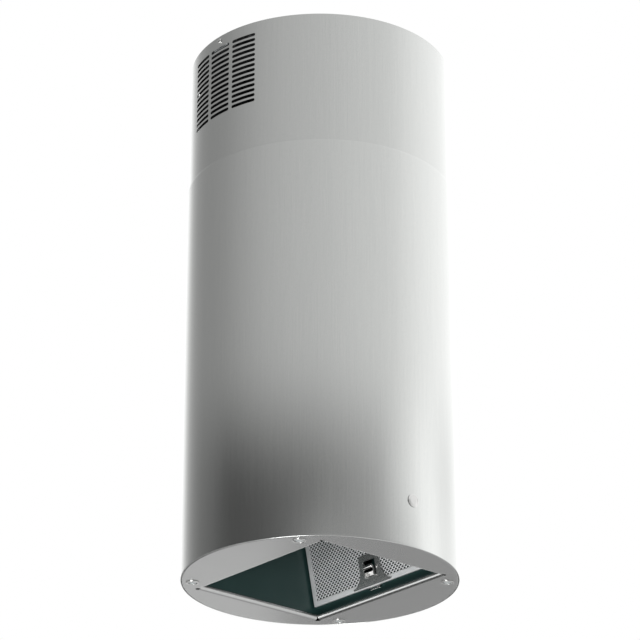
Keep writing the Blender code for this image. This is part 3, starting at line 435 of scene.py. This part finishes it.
def aluminium():
    """Filters and duct: bare rolled aluminium with a faint milky grain."""
    metal = Surface("aluminium", (0.70, 0.71, 0.72), 0.45, 0.6)
    grain = metal.noise((1500, 90, 1500), 3)
    clouds = metal.noise((35, 35, 35), 4)
    metal.colour(metal.colours(clouds, (0.62, 0.635, 0.64), (0.77, 0.775, 0.78)))
    rolled, milky = metal.spread(grain, 0.3, 0.7, 0.40, 0.50), metal.spread(clouds, 0.3, 0.7, 0, 0.05)
    metal.roughness(metal.plus(rolled, milky))
    metal.bump(grain, 0.00003, 0.5)
    return metal.material


def shaded_wire():
    """Knitted pads behind the perforated sheets: grey wire painted almost black as painted shade behind the holes,
    and darker still in a fine cell pattern as painted shade deep in the pad.
    """
    # The near-black base colour is painted shade, not the wire's own colour.
    wire = Surface("shaded_wire", (0.04, 0.045, 0.045), 0.5, 0.6)
    threads_and_gap_shade = wire.cells((900, 900, 900))
    clouds = wire.noise((60, 60, 60), 4)
    # Darker away from the cell points: painted shade deep in the knit.
    wire.colour(wire.colours(wire.spread(threads_and_gap_shade, 0.1, 0.6), (0.06, 0.068, 0.068), (0.012, 0.016, 0.016)))
    wire.roughness(wire.spread(clouds, 0.3, 0.7, 0.42, 0.60))
    wire.bump(threads_and_gap_shade, 0.0002, 0.6)
    return wire.material


def moulded(name, colour, roughness):
    """Injection-moulded plastic with a fine spark-eroded grain."""
    plastic = Surface(name, colour, roughness)
    grain = plastic.cells((1600, 1600, 1600))
    clouds = plastic.noise((40, 40, 40), 3)
    dark, light = tuple(0.85 * c for c in colour), tuple(1.2 * c for c in colour)
    plastic.colour(plastic.colours(clouds, dark, light))
    plastic.roughness(plastic.spread(clouds, 0.3, 0.7, roughness - 0.05, roughness + 0.08))
    plastic.bump(grain, 0.00005, 0.5)
    return plastic.material


def board_green():
    """Circuit board: green lacquer over copper tracks."""
    board = Surface("board_green", (0.02, 0.13, 0.05), 0.35, Coat_Weight=0.4)
    tracks = board.cells((260, 260, 260))
    lines = board.spread(tracks, 0.30, 0.36)
    board.colour(board.colours(lines, (0.04, 0.24, 0.09), (0.012, 0.09, 0.035)))
    board.roughness(board.spread(tracks, 0, 1, 0.28, 0.42))
    board.bump(lines, 0.00005, 0.6)
    return board.material


def cable_black():
    """Cable sheath: soft PVC with a slight waviness."""
    sheath = Surface("cable_black", (0.02, 0.02, 0.021), 0.5)
    waves = sheath.noise((180, 180, 180), 3)
    sheath.colour(sheath.colours(waves, (0.014, 0.014, 0.015), (0.030, 0.030, 0.031)))
    sheath.roughness(sheath.spread(waves, 0.3, 0.7, 0.42, 0.6))
    sheath.bump(waves, 0.0001, 0.4)
    return sheath.material


def lamp_lens():
    """Lamp covers: milky, slightly ribbed glass."""
    glass = Surface("lamp_lens", (0.50, 0.52, 0.52), 0.22, 0.0, Transmission_Weight=0.35, IOR=1.46)
    frost = glass.noise((1200, 1200, 1200), 3)
    glass.colour(glass.colours(frost, (0.42, 0.45, 0.45), (0.60, 0.62, 0.62)))
    glass.roughness(glass.spread(frost, 0.3, 0.7, 0.15, 0.32))
    glass.bump(frost, 0.00003, 0.5)
    return glass.material


MATERIALS = {
    "brushed_steel": brushed_steel("brushed_steel"),
    "plate_steel": plate_steel(),
    "dark_sheet": dark_sheet(),
    "galvanised_steel": galvanised_steel(),
    "polished_steel": polished_steel(),
    "aluminium": aluminium(),
    "black_plastic": moulded("black_plastic", (0.022, 0.023, 0.024), 0.45),
    "grey_plastic": moulded("grey_plastic", (0.30, 0.31, 0.32), 0.48),
    "board_green": board_green(),
    "cable_black": cable_black(),
    "lamp_lens": lamp_lens(),
}
# The upper tube's steel is the same steel made 4% darker: painted shade on that tube.
UPPER_STEEL_SHADED = brushed_steel("brushed_steel_upper_shaded", 0.96)
SHADED_WIRE = shaded_wire()


# Tubes


def radial_normals(mesh):
    """Custom normals that make the faceted tube walls perfectly round. Cut faces keep their own."""
    normals = []
    for polygon in mesh.polygons:
        outwards = Vector((polygon.center.x, polygon.center.y, 0)).normalized()
        facing = polygon.normal.dot(outwards)
        for index in polygon.vertices:
            if abs(facing) > 0.9:
                spot = mesh.vertices[index].co
                normals.append(Vector((spot.x, spot.y, 0)).normalized() * math.copysign(1, facing))
            else:
                normals.append(polygon.normal.copy())
    mesh.shade_smooth()
    mesh.normals_split_custom_set(normals)


def slot_prism(length, width, depth):
    """A slot with round ends: its length along Y, its width along Z and its depth along X."""
    reach = length / 2 - width / 2
    outline = arc((reach, 0), width / 2, -90, 90, 8) + arc((-reach, 0), width / 2, 90, 270, 8)
    prism = filled("slot", [outline], depth)
    prism.transform(Matrix.Rotation(math.pi / 2, 4, "Y") @ Matrix.Rotation(math.pi / 2, 4, "Z"))
    return prism


def grille_cutter(radius):
    """All the slots of both grilles, through a tube wall of this radius."""
    slot = slot_prism(2 * radius * math.sin(VENT_SLOT_SPAN / 2), VENT_SLOT_HEIGHT, VENT_CUT_DEPTH)
    reach = radius - VENT_CUT_DEPTH * 0.6
    bm = bmesh.new()
    for side in (0, math.pi):
        for column in range(VENT_COLUMNS):
            turn = Matrix.Rotation(side + (column - (VENT_COLUMNS - 1) / 2) * VENT_COLUMN_PITCH, 4, "Z")
            for row in range(VENT_ROWS):
                out = Matrix.Translation((reach, 0, VENT_TOP_ROW - row * VENT_ROW_PITCH))
                placed = slot.copy()
                placed.transform(turn @ out)
                bm.from_mesh(placed)
                bpy.data.meshes.remove(placed)
    cutter = bpy.data.meshes.new("grille_cutter")
    bm.to_mesh(cutter)
    bm.free()
    return cutter


def tube(node):
    """A tube's shell, with plain walls."""
    low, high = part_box(node)
    wall = lipped_wall(high.x, high.x - TUBE_WALL, low.z, high.z, TUBE_LIP)
    return piece(f"{node}_shell", turned(f"{node}_shell", wall, TUBE_STEPS), node)


def tubes():
    """The plain lower tube, and the upper one with its grilles and the holes for its two screws."""
    tube("lower_chimney")
    shell = tube("upper_chimney")
    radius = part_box("upper_chimney")[1].x
    shell.data = cut(shell, grille_cutter(radius))
    screw_low, screw_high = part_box("chimney_screw_left")
    reach, height = radius + 0.01, (screw_low.z + screw_high.z) / 2
    shell.data = cut(shell, bar("drill", (-reach, 0, height), (reach, 0, height), SCREW_HOLE_RADIUS))
    radial_normals(shell.data)
    shell.data.materials[0] = UPPER_STEEL_SHADED


# Bottom plate, lamps, badge and screws


def circle(radius, steps, centre=(0, 0)):
    return arc(centre, radius, 0, 360 - 360 / steps, steps - 1)


def opening_loop(steps):
    """The filter opening's bend lines, with a round relief at each corner, and the points in one corner."""
    centre = [half - RELIEF_INSET for half in OPENING_HALF]
    lead = math.degrees(math.acos(RELIEF_INSET / RELIEF_RADIUS))
    corner = arc(centre, RELIEF_RADIUS, -lead, 90 + lead, steps)
    loop = []
    for across, deep in ((1, 1), (-1, 1), (-1, -1), (1, -1)):
        points = [(across * x, deep * y) for x, y in corner]
        loop += points if across * deep > 0 else points[::-1]
    return loop, steps + 1


def parts_of(geometry, kind):
    """The vertices, edges or faces among the elements that a bmesh operator made."""
    return [item for item in geometry if isinstance(item, kind)]


def roll_flange(bm, line):
    """Bends the sheet up along one straight edge of the opening."""
    middle = (line.verts[0].co + line.verts[1].co) / 2
    axis = Vector((0, 0, 1)).cross(middle.normalized())
    bent = bmesh.ops.spin(bm, geom=[line, *line.verts], cent=middle + Vector((0, 0, BEND_RADIUS)),
                          axis=axis, angle=math.pi / 2, steps=10)
    last = parts_of(bent["geom_last"], bmesh.types.BMEdge)
    lifted = parts_of(bmesh.ops.extrude_edge_only(bm, edges=last)["geom"], bmesh.types.BMVert)
    bmesh.ops.translate(bm, vec=(0, 0, FLANGE_TOP - BEND_RADIUS), verts=lifted)


def bottom_plate():
    """The sheet with a rolled edge and skirt, and a flange rolled up along each side of the opening."""
    low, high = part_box("bottom_plate")
    lamp = sum(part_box("lamp_lens_2"), Vector()) / 2
    bm = bmesh.new()

    def add_loop(points):
        verts = [bm.verts.new((x, y, 0)) for x, y in points]
        return [bm.edges.new(pair) for pair in zip(verts, verts[1:] + verts[:1])]

    flat_radius = high.x - PLATE_EDGE_RADIUS
    rim = add_loop(circle(flat_radius, TUBE_STEPS))
    opening, corner_points = opening_loop(14)
    opening_edges = add_loop(opening)
    holes = []
    for across, deep in QUADRANTS:
        holes += add_loop(circle(LAMP_HOLE_RADIUS, 40, (across * lamp.x, deep * lamp.y)))
    bmesh.ops.triangle_fill(bm, use_beauty=True, edges=rim + opening_edges + holes, normal=(0, 0, -1))
    edge = arc((flat_radius, PLATE_EDGE_RADIUS), PLATE_EDGE_RADIUS, -90, 0, 6)[1:]
    before = flat_radius
    for radius, height in (*edge, (high.x, high.z - low.z)):
        made = bmesh.ops.extrude_edge_only(bm, edges=rim)["geom"]
        moved = set(parts_of(made, bmesh.types.BMVert))
        for vertex in moved:
            vertex.co = Vector((vertex.co.x * radius / before, vertex.co.y * radius / before, height))
        rim = [line for line in parts_of(made, bmesh.types.BMEdge) if moved.issuperset(line.verts)]
        before = radius
    for line in opening_edges[corner_points - 1::corner_points]:
        roll_flange(bm, line)
    bmesh.ops.recalc_face_normals(bm, faces=bm.faces)
    bm.faces.ensure_lookup_table()
    largest = max(bm.faces, key=lambda face: abs(face.normal.z) * face.calc_area())
    if largest.normal.z > 0:
        bmesh.ops.reverse_faces(bm, faces=bm.faces)
    mesh = bpy.data.meshes.new("bottom_plate_sheet")
    bm.to_mesh(mesh)
    bm.free()
    mesh.shade_smooth()
    plate = piece("bottom_plate_sheet", mesh, "bottom_plate", Matrix.Translation((0, 0, low.z)))
    sheet = plate.modifiers.new("sheet", "SOLIDIFY")
    sheet.thickness, sheet.offset, sheet.use_even_offset = PLATE_SHEET, -1, True
    round_edges(plate, PLATE_LIP)
    even_normals(plate)


def lamps():
    """Spotlights: a housing with a polished rim, and a lens with prism rings."""
    for number in (1, 2, 3, 4):
        low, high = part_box(f"lamp_body_{number}")
        centre = Matrix.Translation(((low.x + high.x) / 2, (low.y + high.y) / 2, UNDERSIDE))
        rim, rim_top, rim_bottom = (high.x - low.x) / 2, -0.0003, low.z - UNDERSIDE
        body, mouth, top, floor = 0.0074, 0.0062, high.z - UNDERSIDE, 0.004
        profile = [
            (0, top), (body - 0.0006, top), (body, top - 0.0006), (body, rim_top), (rim - 0.0002, rim_top),
            (rim, rim_top - 0.0002), *arc((rim - 0.0008, rim_bottom + 0.0008), 0.0008, 0, -90, 5),
            *arc((mouth + 0.0005, rim_bottom + 0.0005), 0.0005, -90, -180, 4),
            (mouth, floor), (0, floor),
        ]
        housing = turned(f"lamp_housing_{number}", profile, LAMP_STEPS)
        piece(f"lamp_housing_{number}", housing, f"lamp_body_{number}", centre)

        low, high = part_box(f"lamp_lens_{number}")
        radius, bottom, top = (high.x - low.x) / 2, low.z - UNDERSIDE, high.z - UNDERSIDE
        rings, ring_depth = 4, 0.00035
        profile = [(0, top), (radius, top), (radius, bottom + 0.0006)]
        for ring in range(rings):
            outer = radius * 0.94 * (1 - ring / rings)
            inner = radius * 0.94 * (1 - (ring + 0.7) / rings)
            profile += [(outer, bottom + ring_depth), (inner, bottom)]
        profile.append((0, bottom + ring_depth))
        cover = turned(f"lamp_cover_{number}", profile, LAMP_STEPS)
        piece(f"lamp_cover_{number}", cover, f"lamp_lens_{number}", centre)


def badge():
    """Plain domed disc with a turned groove near its edge."""
    low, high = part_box("badge")
    radius, depth = (high.x - low.x) / 2, high.y - low.y
    profile = [
        (0, depth), (radius * 0.6, depth * 0.98), (radius * 0.76, depth * 0.94),
        (radius * 0.79, depth * 0.70), (radius * 0.83, depth * 0.70), (radius * 0.86, depth * 0.90),
        (radius * 0.94, depth * 0.80), (radius, depth * 0.45), (radius, 0), (0, 0),
    ]
    centre = Vector(((low.x + high.x) / 2, high.y, (low.z + high.z) / 2))
    matrix = Matrix.Translation(centre) @ Matrix.Rotation(math.pi / 2, 4, "X")
    piece("badge_disc", turned("badge_disc", profile, 64), "badge", matrix)


def chimney_screws():
    """Pan-head screws with a cross recess."""
    for name, side in SIDES:
        low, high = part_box(f"chimney_screw_{name}")
        head, length = (high.z - low.z) / 2, high.x - low.x
        shank, head_height = 0.002, 0.0022
        arm_reach, arm_half, recess_depth = 0.0015, 0.0003, 0.0008
        profile = [
            (0, 0), (head * 0.3, -0.00005), (head * 0.68, -0.0003), (head * 0.9, -0.0008), (head, -0.0014),
            (head, -head_height), (shank, -head_height), (shank, -length + 0.001), (0, -length),
        ]
        mesh = turned("screw", profile, 40)
        matrix = (Matrix.Translation((high.x if side > 0 else low.x, 0, (low.z + high.z) / 2))
                  @ Matrix.Rotation(side * math.pi / 2, 4, "Y"))
        screw = piece(f"chimney_screw_{name}_turned", mesh, f"chimney_screw_{name}", matrix)
        for x, y in ((arm_reach, arm_half), (arm_half, arm_reach)):
            screw.data = cut(screw, slab((-x, -y, -recess_depth), (x, y, 0.001)))


# Grease filters, each in its own frame: X across, Y up the slope, Z into the recess, from the hinge axis


def filter_frame_matrix(name, side):
    """The place and direction of a filter's own frame, from its joints' axes."""
    slope = Vector(JOINTS[f"latch_{name}_slide"]["axis"]).normalized()
    across = Vector((0, -side, 0))
    axes = Matrix((across, slope, across.cross(slope))).transposed().to_4x4()
    return Matrix.Translation(JOINTS[f"filter_{name}_hinge"]["pos_m"]) @ axes


def local_box(node, matrix):
    """A CAD node's lowest and highest corners in another frame."""
    back = matrix.inverted()
    spots = [back @ vertex.co for vertex in NODES[node].data.vertices]
    return [Vector(pick(spot[i] for spot in spots) for i in range(3)) for pick in (min, max)]


def perforated_sheet(low, high, keep_clear):
    """A flat sheet of holes that fills the box from low to high, open where keep_clear(x, y) says so."""
    columns = round((high.x - low.x) / HOLE_PITCH)
    rows = round((high.y - low.y) / HOLE_ROW_PITCH)
    left = (low.x + high.x - columns * HOLE_PITCH) / 2
    right = left + columns * HOLE_PITCH
    foot = (low.y + high.y - rows * HOLE_ROW_PITCH) / 2
    half, rise = HOLE_PITCH / 2, HOLE_ROW_PITCH / 2
    turns = [math.pi / 4 * i for i in range(8)]
    spokes = [(HOLE_HALF[0] * math.cos(turn), HOLE_HALF[1] * math.sin(turn)) for turn in turns]
    corners = [(half, rise), (0, rise), (-half, rise), (-half, -rise), (0, -rise), (half, -rise)]
    # Corners 0 to 7 go round the hole, and 8 to 13 round the cell, from its top right to its bottom right.
    cell_faces = [
        (1, 8, 9, 2), (2, 9, 10, 3), (3, 10, 4), (4, 10, 11), (4, 11, 5), (5, 11, 12, 6), (6, 12, 13, 7),
        (7, 13, 0), (0, 13, 8), (0, 8, 1),
    ]
    points, faces = [], []
    for row in range(rows):
        y = foot + (row + 0.5) * HOLE_ROW_PITCH
        odd = row % 2
        for column in range(columns - odd):
            x = left + (column + 0.5 + odd / 2) * HOLE_PITCH
            if keep_clear(x, y):
                continue
            start = len(points)
            points += [(x + dx, y + dy, 0) for dx, dy in spokes + corners]
            faces += [tuple(start + i for i in face) for face in cell_faces]
        if odd:
            for edge, inner in ((left, left + half), (right, right - half)):
                start = len(points)
                points += [(edge, y - rise, 0), (inner, y - rise, 0), (inner, y + rise, 0),
                           (edge, y + rise, 0)]
                faces.append(tuple(range(start, start + 4)))
    return new_mesh("perforated", points, faces)


def knitted_mesh(low, high, keep_clear):
    """A crumpled pad of knitted wire: a fine wavy sheet, open where keep_clear(x, y) says so."""
    step, wave, depth = 0.0016, 0.0062, 0.0011
    columns, rows = int((high.x - low.x) / step), int((high.y - low.y) / step)
    top = high.z - depth
    points, faces = [], []
    for row in range(rows + 1):
        for column in range(columns + 1):
            x = low.x + (high.x - low.x) * column / columns
            y = low.y + (high.y - low.y) * row / rows
            across = math.sin(2 * math.pi * (x / wave + 0.3 * math.sin(y / wave)))
            points.append((x, y, top + depth * across * math.cos(2 * math.pi * y / wave) * 0.9))
    for row in range(rows):
        for column in range(columns):
            a = row * (columns + 1) + column
            if not keep_clear(*points[a][:2]):
                faces.append((a, a + 1, a + columns + 2, a + columns + 1))
    return new_mesh("knitted", points, faces, 180)


def handle_outline(foot, neck, height):
    """A wide foot, sides that flare in on a curve, and round top corners."""
    corner, foot_corner, flare_start, flare_height = 0.006, 0.001, 0.003, 0.026
    side = [(foot - foot_corner, 0), (foot, foot_corner), (foot, flare_start)]
    for turn in quarter(18)[1:]:
        side.append((foot - (foot - neck) * math.sin(turn),
                     flare_start + (flare_height - flare_start) * (1 - math.cos(turn))))
    side += arc((neck - corner, height - corner), corner, 0, 90, 10)
    return side + [(-x, y) for x, y in reversed(side)]


def rounded_window(low, high, radius, steps=6):
    """A rectangle with round corners, from its bottom right corner round to its bottom left one."""
    (left, bottom), (right, top) = low, high
    corners = ((right - radius, bottom + radius), (right - radius, top - radius),
               (left + radius, top - radius), (left + radius, bottom + radius))
    return [point for quadrant, centre in enumerate(corners)
            for point in arc(centre, radius, 90 * quadrant - 90, 90 * quadrant, steps)]


def latch_mesh(low, high, foot):
    """A bolt, a tab that slopes up from it, and a grip bar between two arms. It fills the box low to high."""
    half, bar_radius, arm_half, inset = high.x, 0.0028, 0.0006, 0.0015
    bolt_sheet, tab_sheet = 0.0018, 0.0010
    bar_y, bar_z = high.y - 0.0072, high.z - bar_radius
    bolt_top, tab_top = foot + 0.0140, foot + 0.0200
    tab = slab((-half + inset, 0, 0),
               (half - inset, (tab_top - bolt_top + inset) / math.cos(LATCH_TAB_RISE), tab_sheet))
    tab.transform(Matrix.Translation((0, bolt_top - inset, low.z + 0.0012))
                  @ Matrix.Rotation(LATCH_TAB_RISE, 4, "X"))
    arms = [slab((x - arm_half, bolt_top - 0.002, low.z), (x + arm_half, bar_y, bar_z))
            for x in (-half + 0.0007, half - 0.0007)]
    latch = joined("latch", [
        slab((-half, low.y, low.z), (half, bolt_top, low.z + bolt_sheet)),
        tab, *arms, bar("bar", (-half, bar_y, bar_z), (half, bar_y, bar_z), bar_radius, 28),
    ])
    latch.shade_smooth()
    return latch


def grease_filter(name, side):
    """One filter: its perforated sheet, knitted pad, pressed handle and sliding latch."""
    placed = filter_frame_matrix(name, side)
    low, high = local_box(f"filter_panel_{name}", placed)
    latch_low, latch_high = local_box(f"filter_latch_{name}", placed)
    handle_low, handle_high = local_box(f"filter_handle_{name}", placed)
    # The sheet and the pad are open behind the handle, where the latch sits.
    pocket_half = latch_high.x + 0.004
    pocket_top = handle_high.y - 0.006

    def over_pocket(x, y):
        return abs(x) < pocket_half and y < pocket_top

    sheet = piece(f"filter_panel_{name}_perforated", perforated_sheet(low, high, over_pocket),
                  f"filter_panel_{name}", placed @ Matrix.Translation((0, 0, low.z)))
    thick = sheet.modifiers.new("sheet", "SOLIDIFY")
    thick.thickness, thick.offset = high.z - low.z, 1

    low, high = local_box(f"filter_mesh_{name}", placed)
    pad = knitted_mesh(low, high, over_pocket)
    piece(f"filter_mesh_{name}_knitted", pad, f"filter_mesh_{name}", placed)
    # The pad takes the near-black wire: painted shade behind the holes.
    pad.materials[0] = SHADED_WIRE

    height, thickness = handle_high.y - handle_low.y, handle_high.z - handle_low.z
    outline = handle_outline(handle_high.x, HANDLE_NECK, height)
    plate = filled("handle", [outline, rounded_window(*HANDLE_WINDOW, 0.0015)], thickness)
    handle = piece(f"filter_handle_{name}_pressed", plate, f"filter_handle_{name}",
                   placed @ Matrix.Translation((0, handle_low.y, handle_low.z)))
    plate.shade_smooth()
    round_edges(handle, 0.0004, 3)

    latch = latch_mesh(latch_low, latch_high, handle_low.y)
    grip = piece(f"filter_latch_{name}_polished", latch, f"filter_latch_{name}", placed)
    round_edges(grip, 0.0005, 3)


# Duct


def flexible_duct():
    """Pleated aluminium duct that stretches between the two halves of the hood."""
    low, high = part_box("flexible_duct")
    centre = (low.x + high.x) / 2
    outer, folds, steps, depth, foil = (high.x - low.x) / 2, 9, 6, 0.0030, 0.0004
    pitch = (high.z - low.z) / folds
    outside = []
    for i in range(folds * steps + 1):
        swing = 0.5 + 0.5 * math.cos(2 * math.pi * i / steps)
        outside.append((outer - depth * swing, high.z - i * pitch / steps))
    inside = [(radius - foil, height) for radius, height in reversed(outside)]
    mesh = turned("flexible_duct_pleated", outside + inside, 96)
    duct = piece("flexible_duct_pleated", mesh, "flexible_duct", Matrix.Translation((centre, 0, 0)), False)
    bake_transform(duct)


# CAD nodes that stay


def finish_cad_nodes():
    """Each CAD node that still shows gets its material, clean shading and slightly rounded edges."""
    for name, obj in NODES.items():
        if obj.hide_render:
            continue
        for material_slot in obj.material_slots:
            material_slot.material = MATERIALS[SLOT_OF[name]]
        mesh = obj.data
        if "custom_normal" in mesh.attributes:
            mesh.attributes.remove(mesh.attributes["custom_normal"])
        mesh.shade_smooth()
        weld = obj.modifiers.new("weld", "WELD")
        weld.merge_threshold = 1e-5
        flat = obj.modifiers.new("flat", "DECIMATE")
        flat.decimate_type = "DISSOLVE"
        flat.angle_limit = math.radians(0.3)
        round_edges(obj, 0.0003)


# Studio


def aim(obj, target):
    obj.rotation_euler = (Vector(target) - obj.location).to_track_quat("-Z", "Y").to_euler()


def direction(azimuth, elevation):
    """Unit vector from the hood towards a place. Degrees, with azimuth 0 at the front and 90 at the right."""
    a, e = math.radians(azimuth), math.radians(elevation)
    return Vector((math.sin(a) * math.cos(e), -math.cos(a) * math.cos(e), math.sin(e)))


# Brightness of the room round the hood. Each ramp runs over the azimuth from the camera, in degrees to its
# right, between -180 and 180. HIGH_ROOM is for places well above the hood's foot, LOW_ROOM for lower ones,
# FOOT_ROOM for those at about the foot's height, and GROUND for all below the horizon except DARK_PATCH.
# The patch is given by its middle's azimuth and elevation and by its outer and inner radius, in degrees.
HIGH_ROOM = (
    (-180, 1.60), (-160, 1.25), (-149, 0.82), (-138, 0.52), (-122, 0.38), (-95, 0.39), (-75, 0.47),
    (-52, 0.58), (-30, 0.66), (0, 0.74), (30, 0.84), (60, 0.94), (82, 1.12), (110, 1.30), (140, 1.40),
    (180, 1.60),
)
LOW_ROOM = (
    (-180, 1.60), (-160, 1.25), (-149, 0.80), (-138, 0.46), (-120, 0.26), (-100, 0.18), (-80, 0.08),
    (-60, 0.07), (-40, 0.09), (-15, 0.12), (5, 0.19), (28, 0.32), (45, 0.46), (60, 0.75), (80, 1.15),
    (100, 1.40), (127, 1.18), (150, 1.35), (180, 1.60),
)
FOOT_ROOM = (
    (-180, 1.60), (-160, 1.25), (-149, 0.80), (-138, 0.46), (-120, 0.25), (-100, 0.18), (-80, 0.11),
    (-60, 0.11), (-38, 0.15), (-15, 0.28), (5, 0.42), (28, 0.42), (45, 0.46), (58, 0.58), (70, 0.78),
    (85, 1.05), (105, 1.45), (127, 1.25), (150, 1.35), (180, 1.60),
)
GROUND = (
    (-180, 0.36), (-150, 0.60), (-110, 1.60), (-70, 1.20), (0, 0.60), (60, 0.90), (95, 0.95), (140, 0.60),
    (180, 0.36),
)
DARK_PATCH = (-143.5, -43, 38, 22)

# Elevations between which the room changes from FOOT_ROOM to LOW_ROOM and from that to HIGH_ROOM, in degrees,
# and from the room to GROUND, as heights on a unit sphere. No ramp is brighter than RAMP_TOP.
FOOT_STEP = (19.3, 20.5)
HIGH_STEP = (20.3, 22.9)
GROUND_STEP = (-0.05, -0.20)
RAMP_TOP = 2.0


def studio_world():
    """Pale room, brighter to the right and behind, and darker low down on the left."""
    world = bpy.data.worlds.new("studio")
    bpy.context.scene.world = world
    world.use_nodes = True
    tree = world.node_tree
    nodes, links = tree.nodes, tree.links

    def calculate(operation, *values):
        node = nodes.new("ShaderNodeMath")
        node.operation = operation
        for socket, value in zip(node.inputs, values):
            if isinstance(value, bpy.types.NodeSocket):
                links.new(value, socket)
            else:
                socket.default_value = value
        return node.outputs[0]

    def between(value, low, high, smooth="SMOOTHSTEP"):
        """From 0 to 1 as the value goes from low to high."""
        node = nodes.new("ShaderNodeMapRange")
        node.interpolation_type = smooth
        links.new(value, node.inputs[0])
        node.inputs[1].default_value, node.inputs[2].default_value = low, high
        return node.outputs[0]

    def mixed(amount, first, second):
        return calculate("MULTIPLY_ADD", amount, calculate("SUBTRACT", second, first), first)

    def times(value, factor):
        return calculate("MULTIPLY", value, factor)

    towards = nodes.new("ShaderNodeTexCoord").outputs["Generated"]
    parts = nodes.new("ShaderNodeSeparateXYZ")
    links.new(towards, parts.inputs[0])
    x, y, z = parts.outputs
    turn = CAMERA_AZIMUTH
    right = calculate("ADD", times(x, math.cos(turn)), times(y, math.sin(turn)))
    near = calculate("SUBTRACT", times(x, math.sin(turn)), times(y, math.cos(turn)))
    azimuth = calculate("ARCTAN2", right, near)

    def ramp(stops):
        """The room's brightness over the azimuth, from a smooth curve through the stops."""
        node = nodes.new("ShaderNodeFloatCurve")
        links.new(between(azimuth, -math.pi, math.pi, "LINEAR"), node.inputs["Value"])
        points = node.mapping.curves[0].points
        while len(points) < len(stops):
            points.new(0.5, 0.5)
        for point, (degrees, level) in zip(points, stops):
            point.location = (degrees / 360 + 0.5, level / RAMP_TOP)
        node.mapping.update()
        return times(node.outputs[0], RAMP_TOP)

    def lobe(degrees, elevation, outer, inner):
        """From 0 to 1 within a round patch of the room, at an azimuth from the camera."""
        dot = nodes.new("ShaderNodeVectorMath")
        dot.operation = "DOT_PRODUCT"
        links.new(towards, dot.inputs[0])
        dot.inputs[1].default_value = direction(math.degrees(turn) + degrees, elevation)
        return between(dot.outputs["Value"], math.cos(math.radians(outer)), math.cos(math.radians(inner)))

    foot = [math.sin(math.radians(elevation)) for elevation in FOOT_STEP]
    high = [math.sin(math.radians(elevation)) for elevation in HIGH_STEP]
    room = mixed(between(z, *foot), ramp(FOOT_ROOM), ramp(LOW_ROOM))
    room = mixed(between(z, *high), room, ramp(HIGH_ROOM))
    ground = times(ramp(GROUND), calculate("SUBTRACT", 1.0, lobe(*DARK_PATCH)))
    room = mixed(between(z, *GROUND_STEP), room, ground)
    seen = nodes.new("ShaderNodeLightPath").outputs["Is Camera Ray"]
    links.new(mixed(seen, room, 1.0), nodes["Background"].inputs["Strength"])
    nodes["Background"].inputs["Color"].default_value = (1, 1, 1, 1)


def softbox(name, azimuth, elevation, distance, size, power):
    """A square light that faces the hood's middle, at an azimuth from the front."""
    data = bpy.data.lights.new(name, "AREA")
    data.shape = "SQUARE"
    data.size = size
    data.energy = power
    lamp = bpy.data.objects.new(name, data)
    bpy.context.scene.collection.objects.link(lamp)
    middle = Vector((0, 0, UNDERSIDE / 2))
    lamp.location = middle + distance * direction(azimuth, elevation)
    aim(lamp, middle)
    lamp.visible_camera = False


def studio():
    """The world, the two softboxes, the floor and the camera."""
    scene = bpy.context.scene
    scene.view_settings.view_transform = "Standard"
    studio_world()
    view = math.degrees(CAMERA_AZIMUTH)
    # A large light low down beside the camera, and a small one behind the hood, both lower than its plate.
    softbox("fill", view - 25, -35, distance=2.8, size=1.2, power=55)
    softbox("under", view - 166, -33, distance=1.5, size=0.5, power=0.28)

    floor_profile = [(0, 0), (FLOOR_RADIUS, 0), (FLOOR_RADIUS, -0.1), (0, -0.1)]
    floor_mesh = turned("floor", floor_profile, 64)
    floor = bpy.data.objects.new("floor", floor_mesh)
    scene.collection.objects.link(floor)
    floor.location.z = UNDERSIDE - FLOOR_DEPTH
    pale = Surface("floor_paint", (0.86, 0.86, 0.855), 0.7)
    pale.colour(pale.colours(pale.noise((2, 2, 2), 4), (0.84, 0.84, 0.835), (0.88, 0.88, 0.875)))
    floor_mesh.materials.append(pale.material)
    # In the steel, the world's GROUND takes the floor's place.
    floor.visible_glossy = False

    camera_data = bpy.data.cameras.new("camera")
    camera_data.lens = CAMERA_LENS
    camera_data.clip_end = 200
    camera = bpy.data.objects.new("camera", camera_data)
    scene.collection.objects.link(camera)
    back = direction(view, 0)
    camera.location = back * CAMERA_DISTANCE + Vector((0, 0, UNDERSIDE - CAMERA_DROP))
    gaze = -back * math.cos(CAMERA_TILT) + Vector((0, 0, math.sin(CAMERA_TILT)))
    camera.rotation_euler = gaze.to_track_quat("-Z", "Y").to_euler()
    scene.camera = camera


tubes()
bottom_plate()
lamps()
badge()
chimney_screws()
for filter_name, filter_side in SIDES:
    grease_filter(filter_name, filter_side)
flexible_duct()
finish_cad_nodes()
studio()
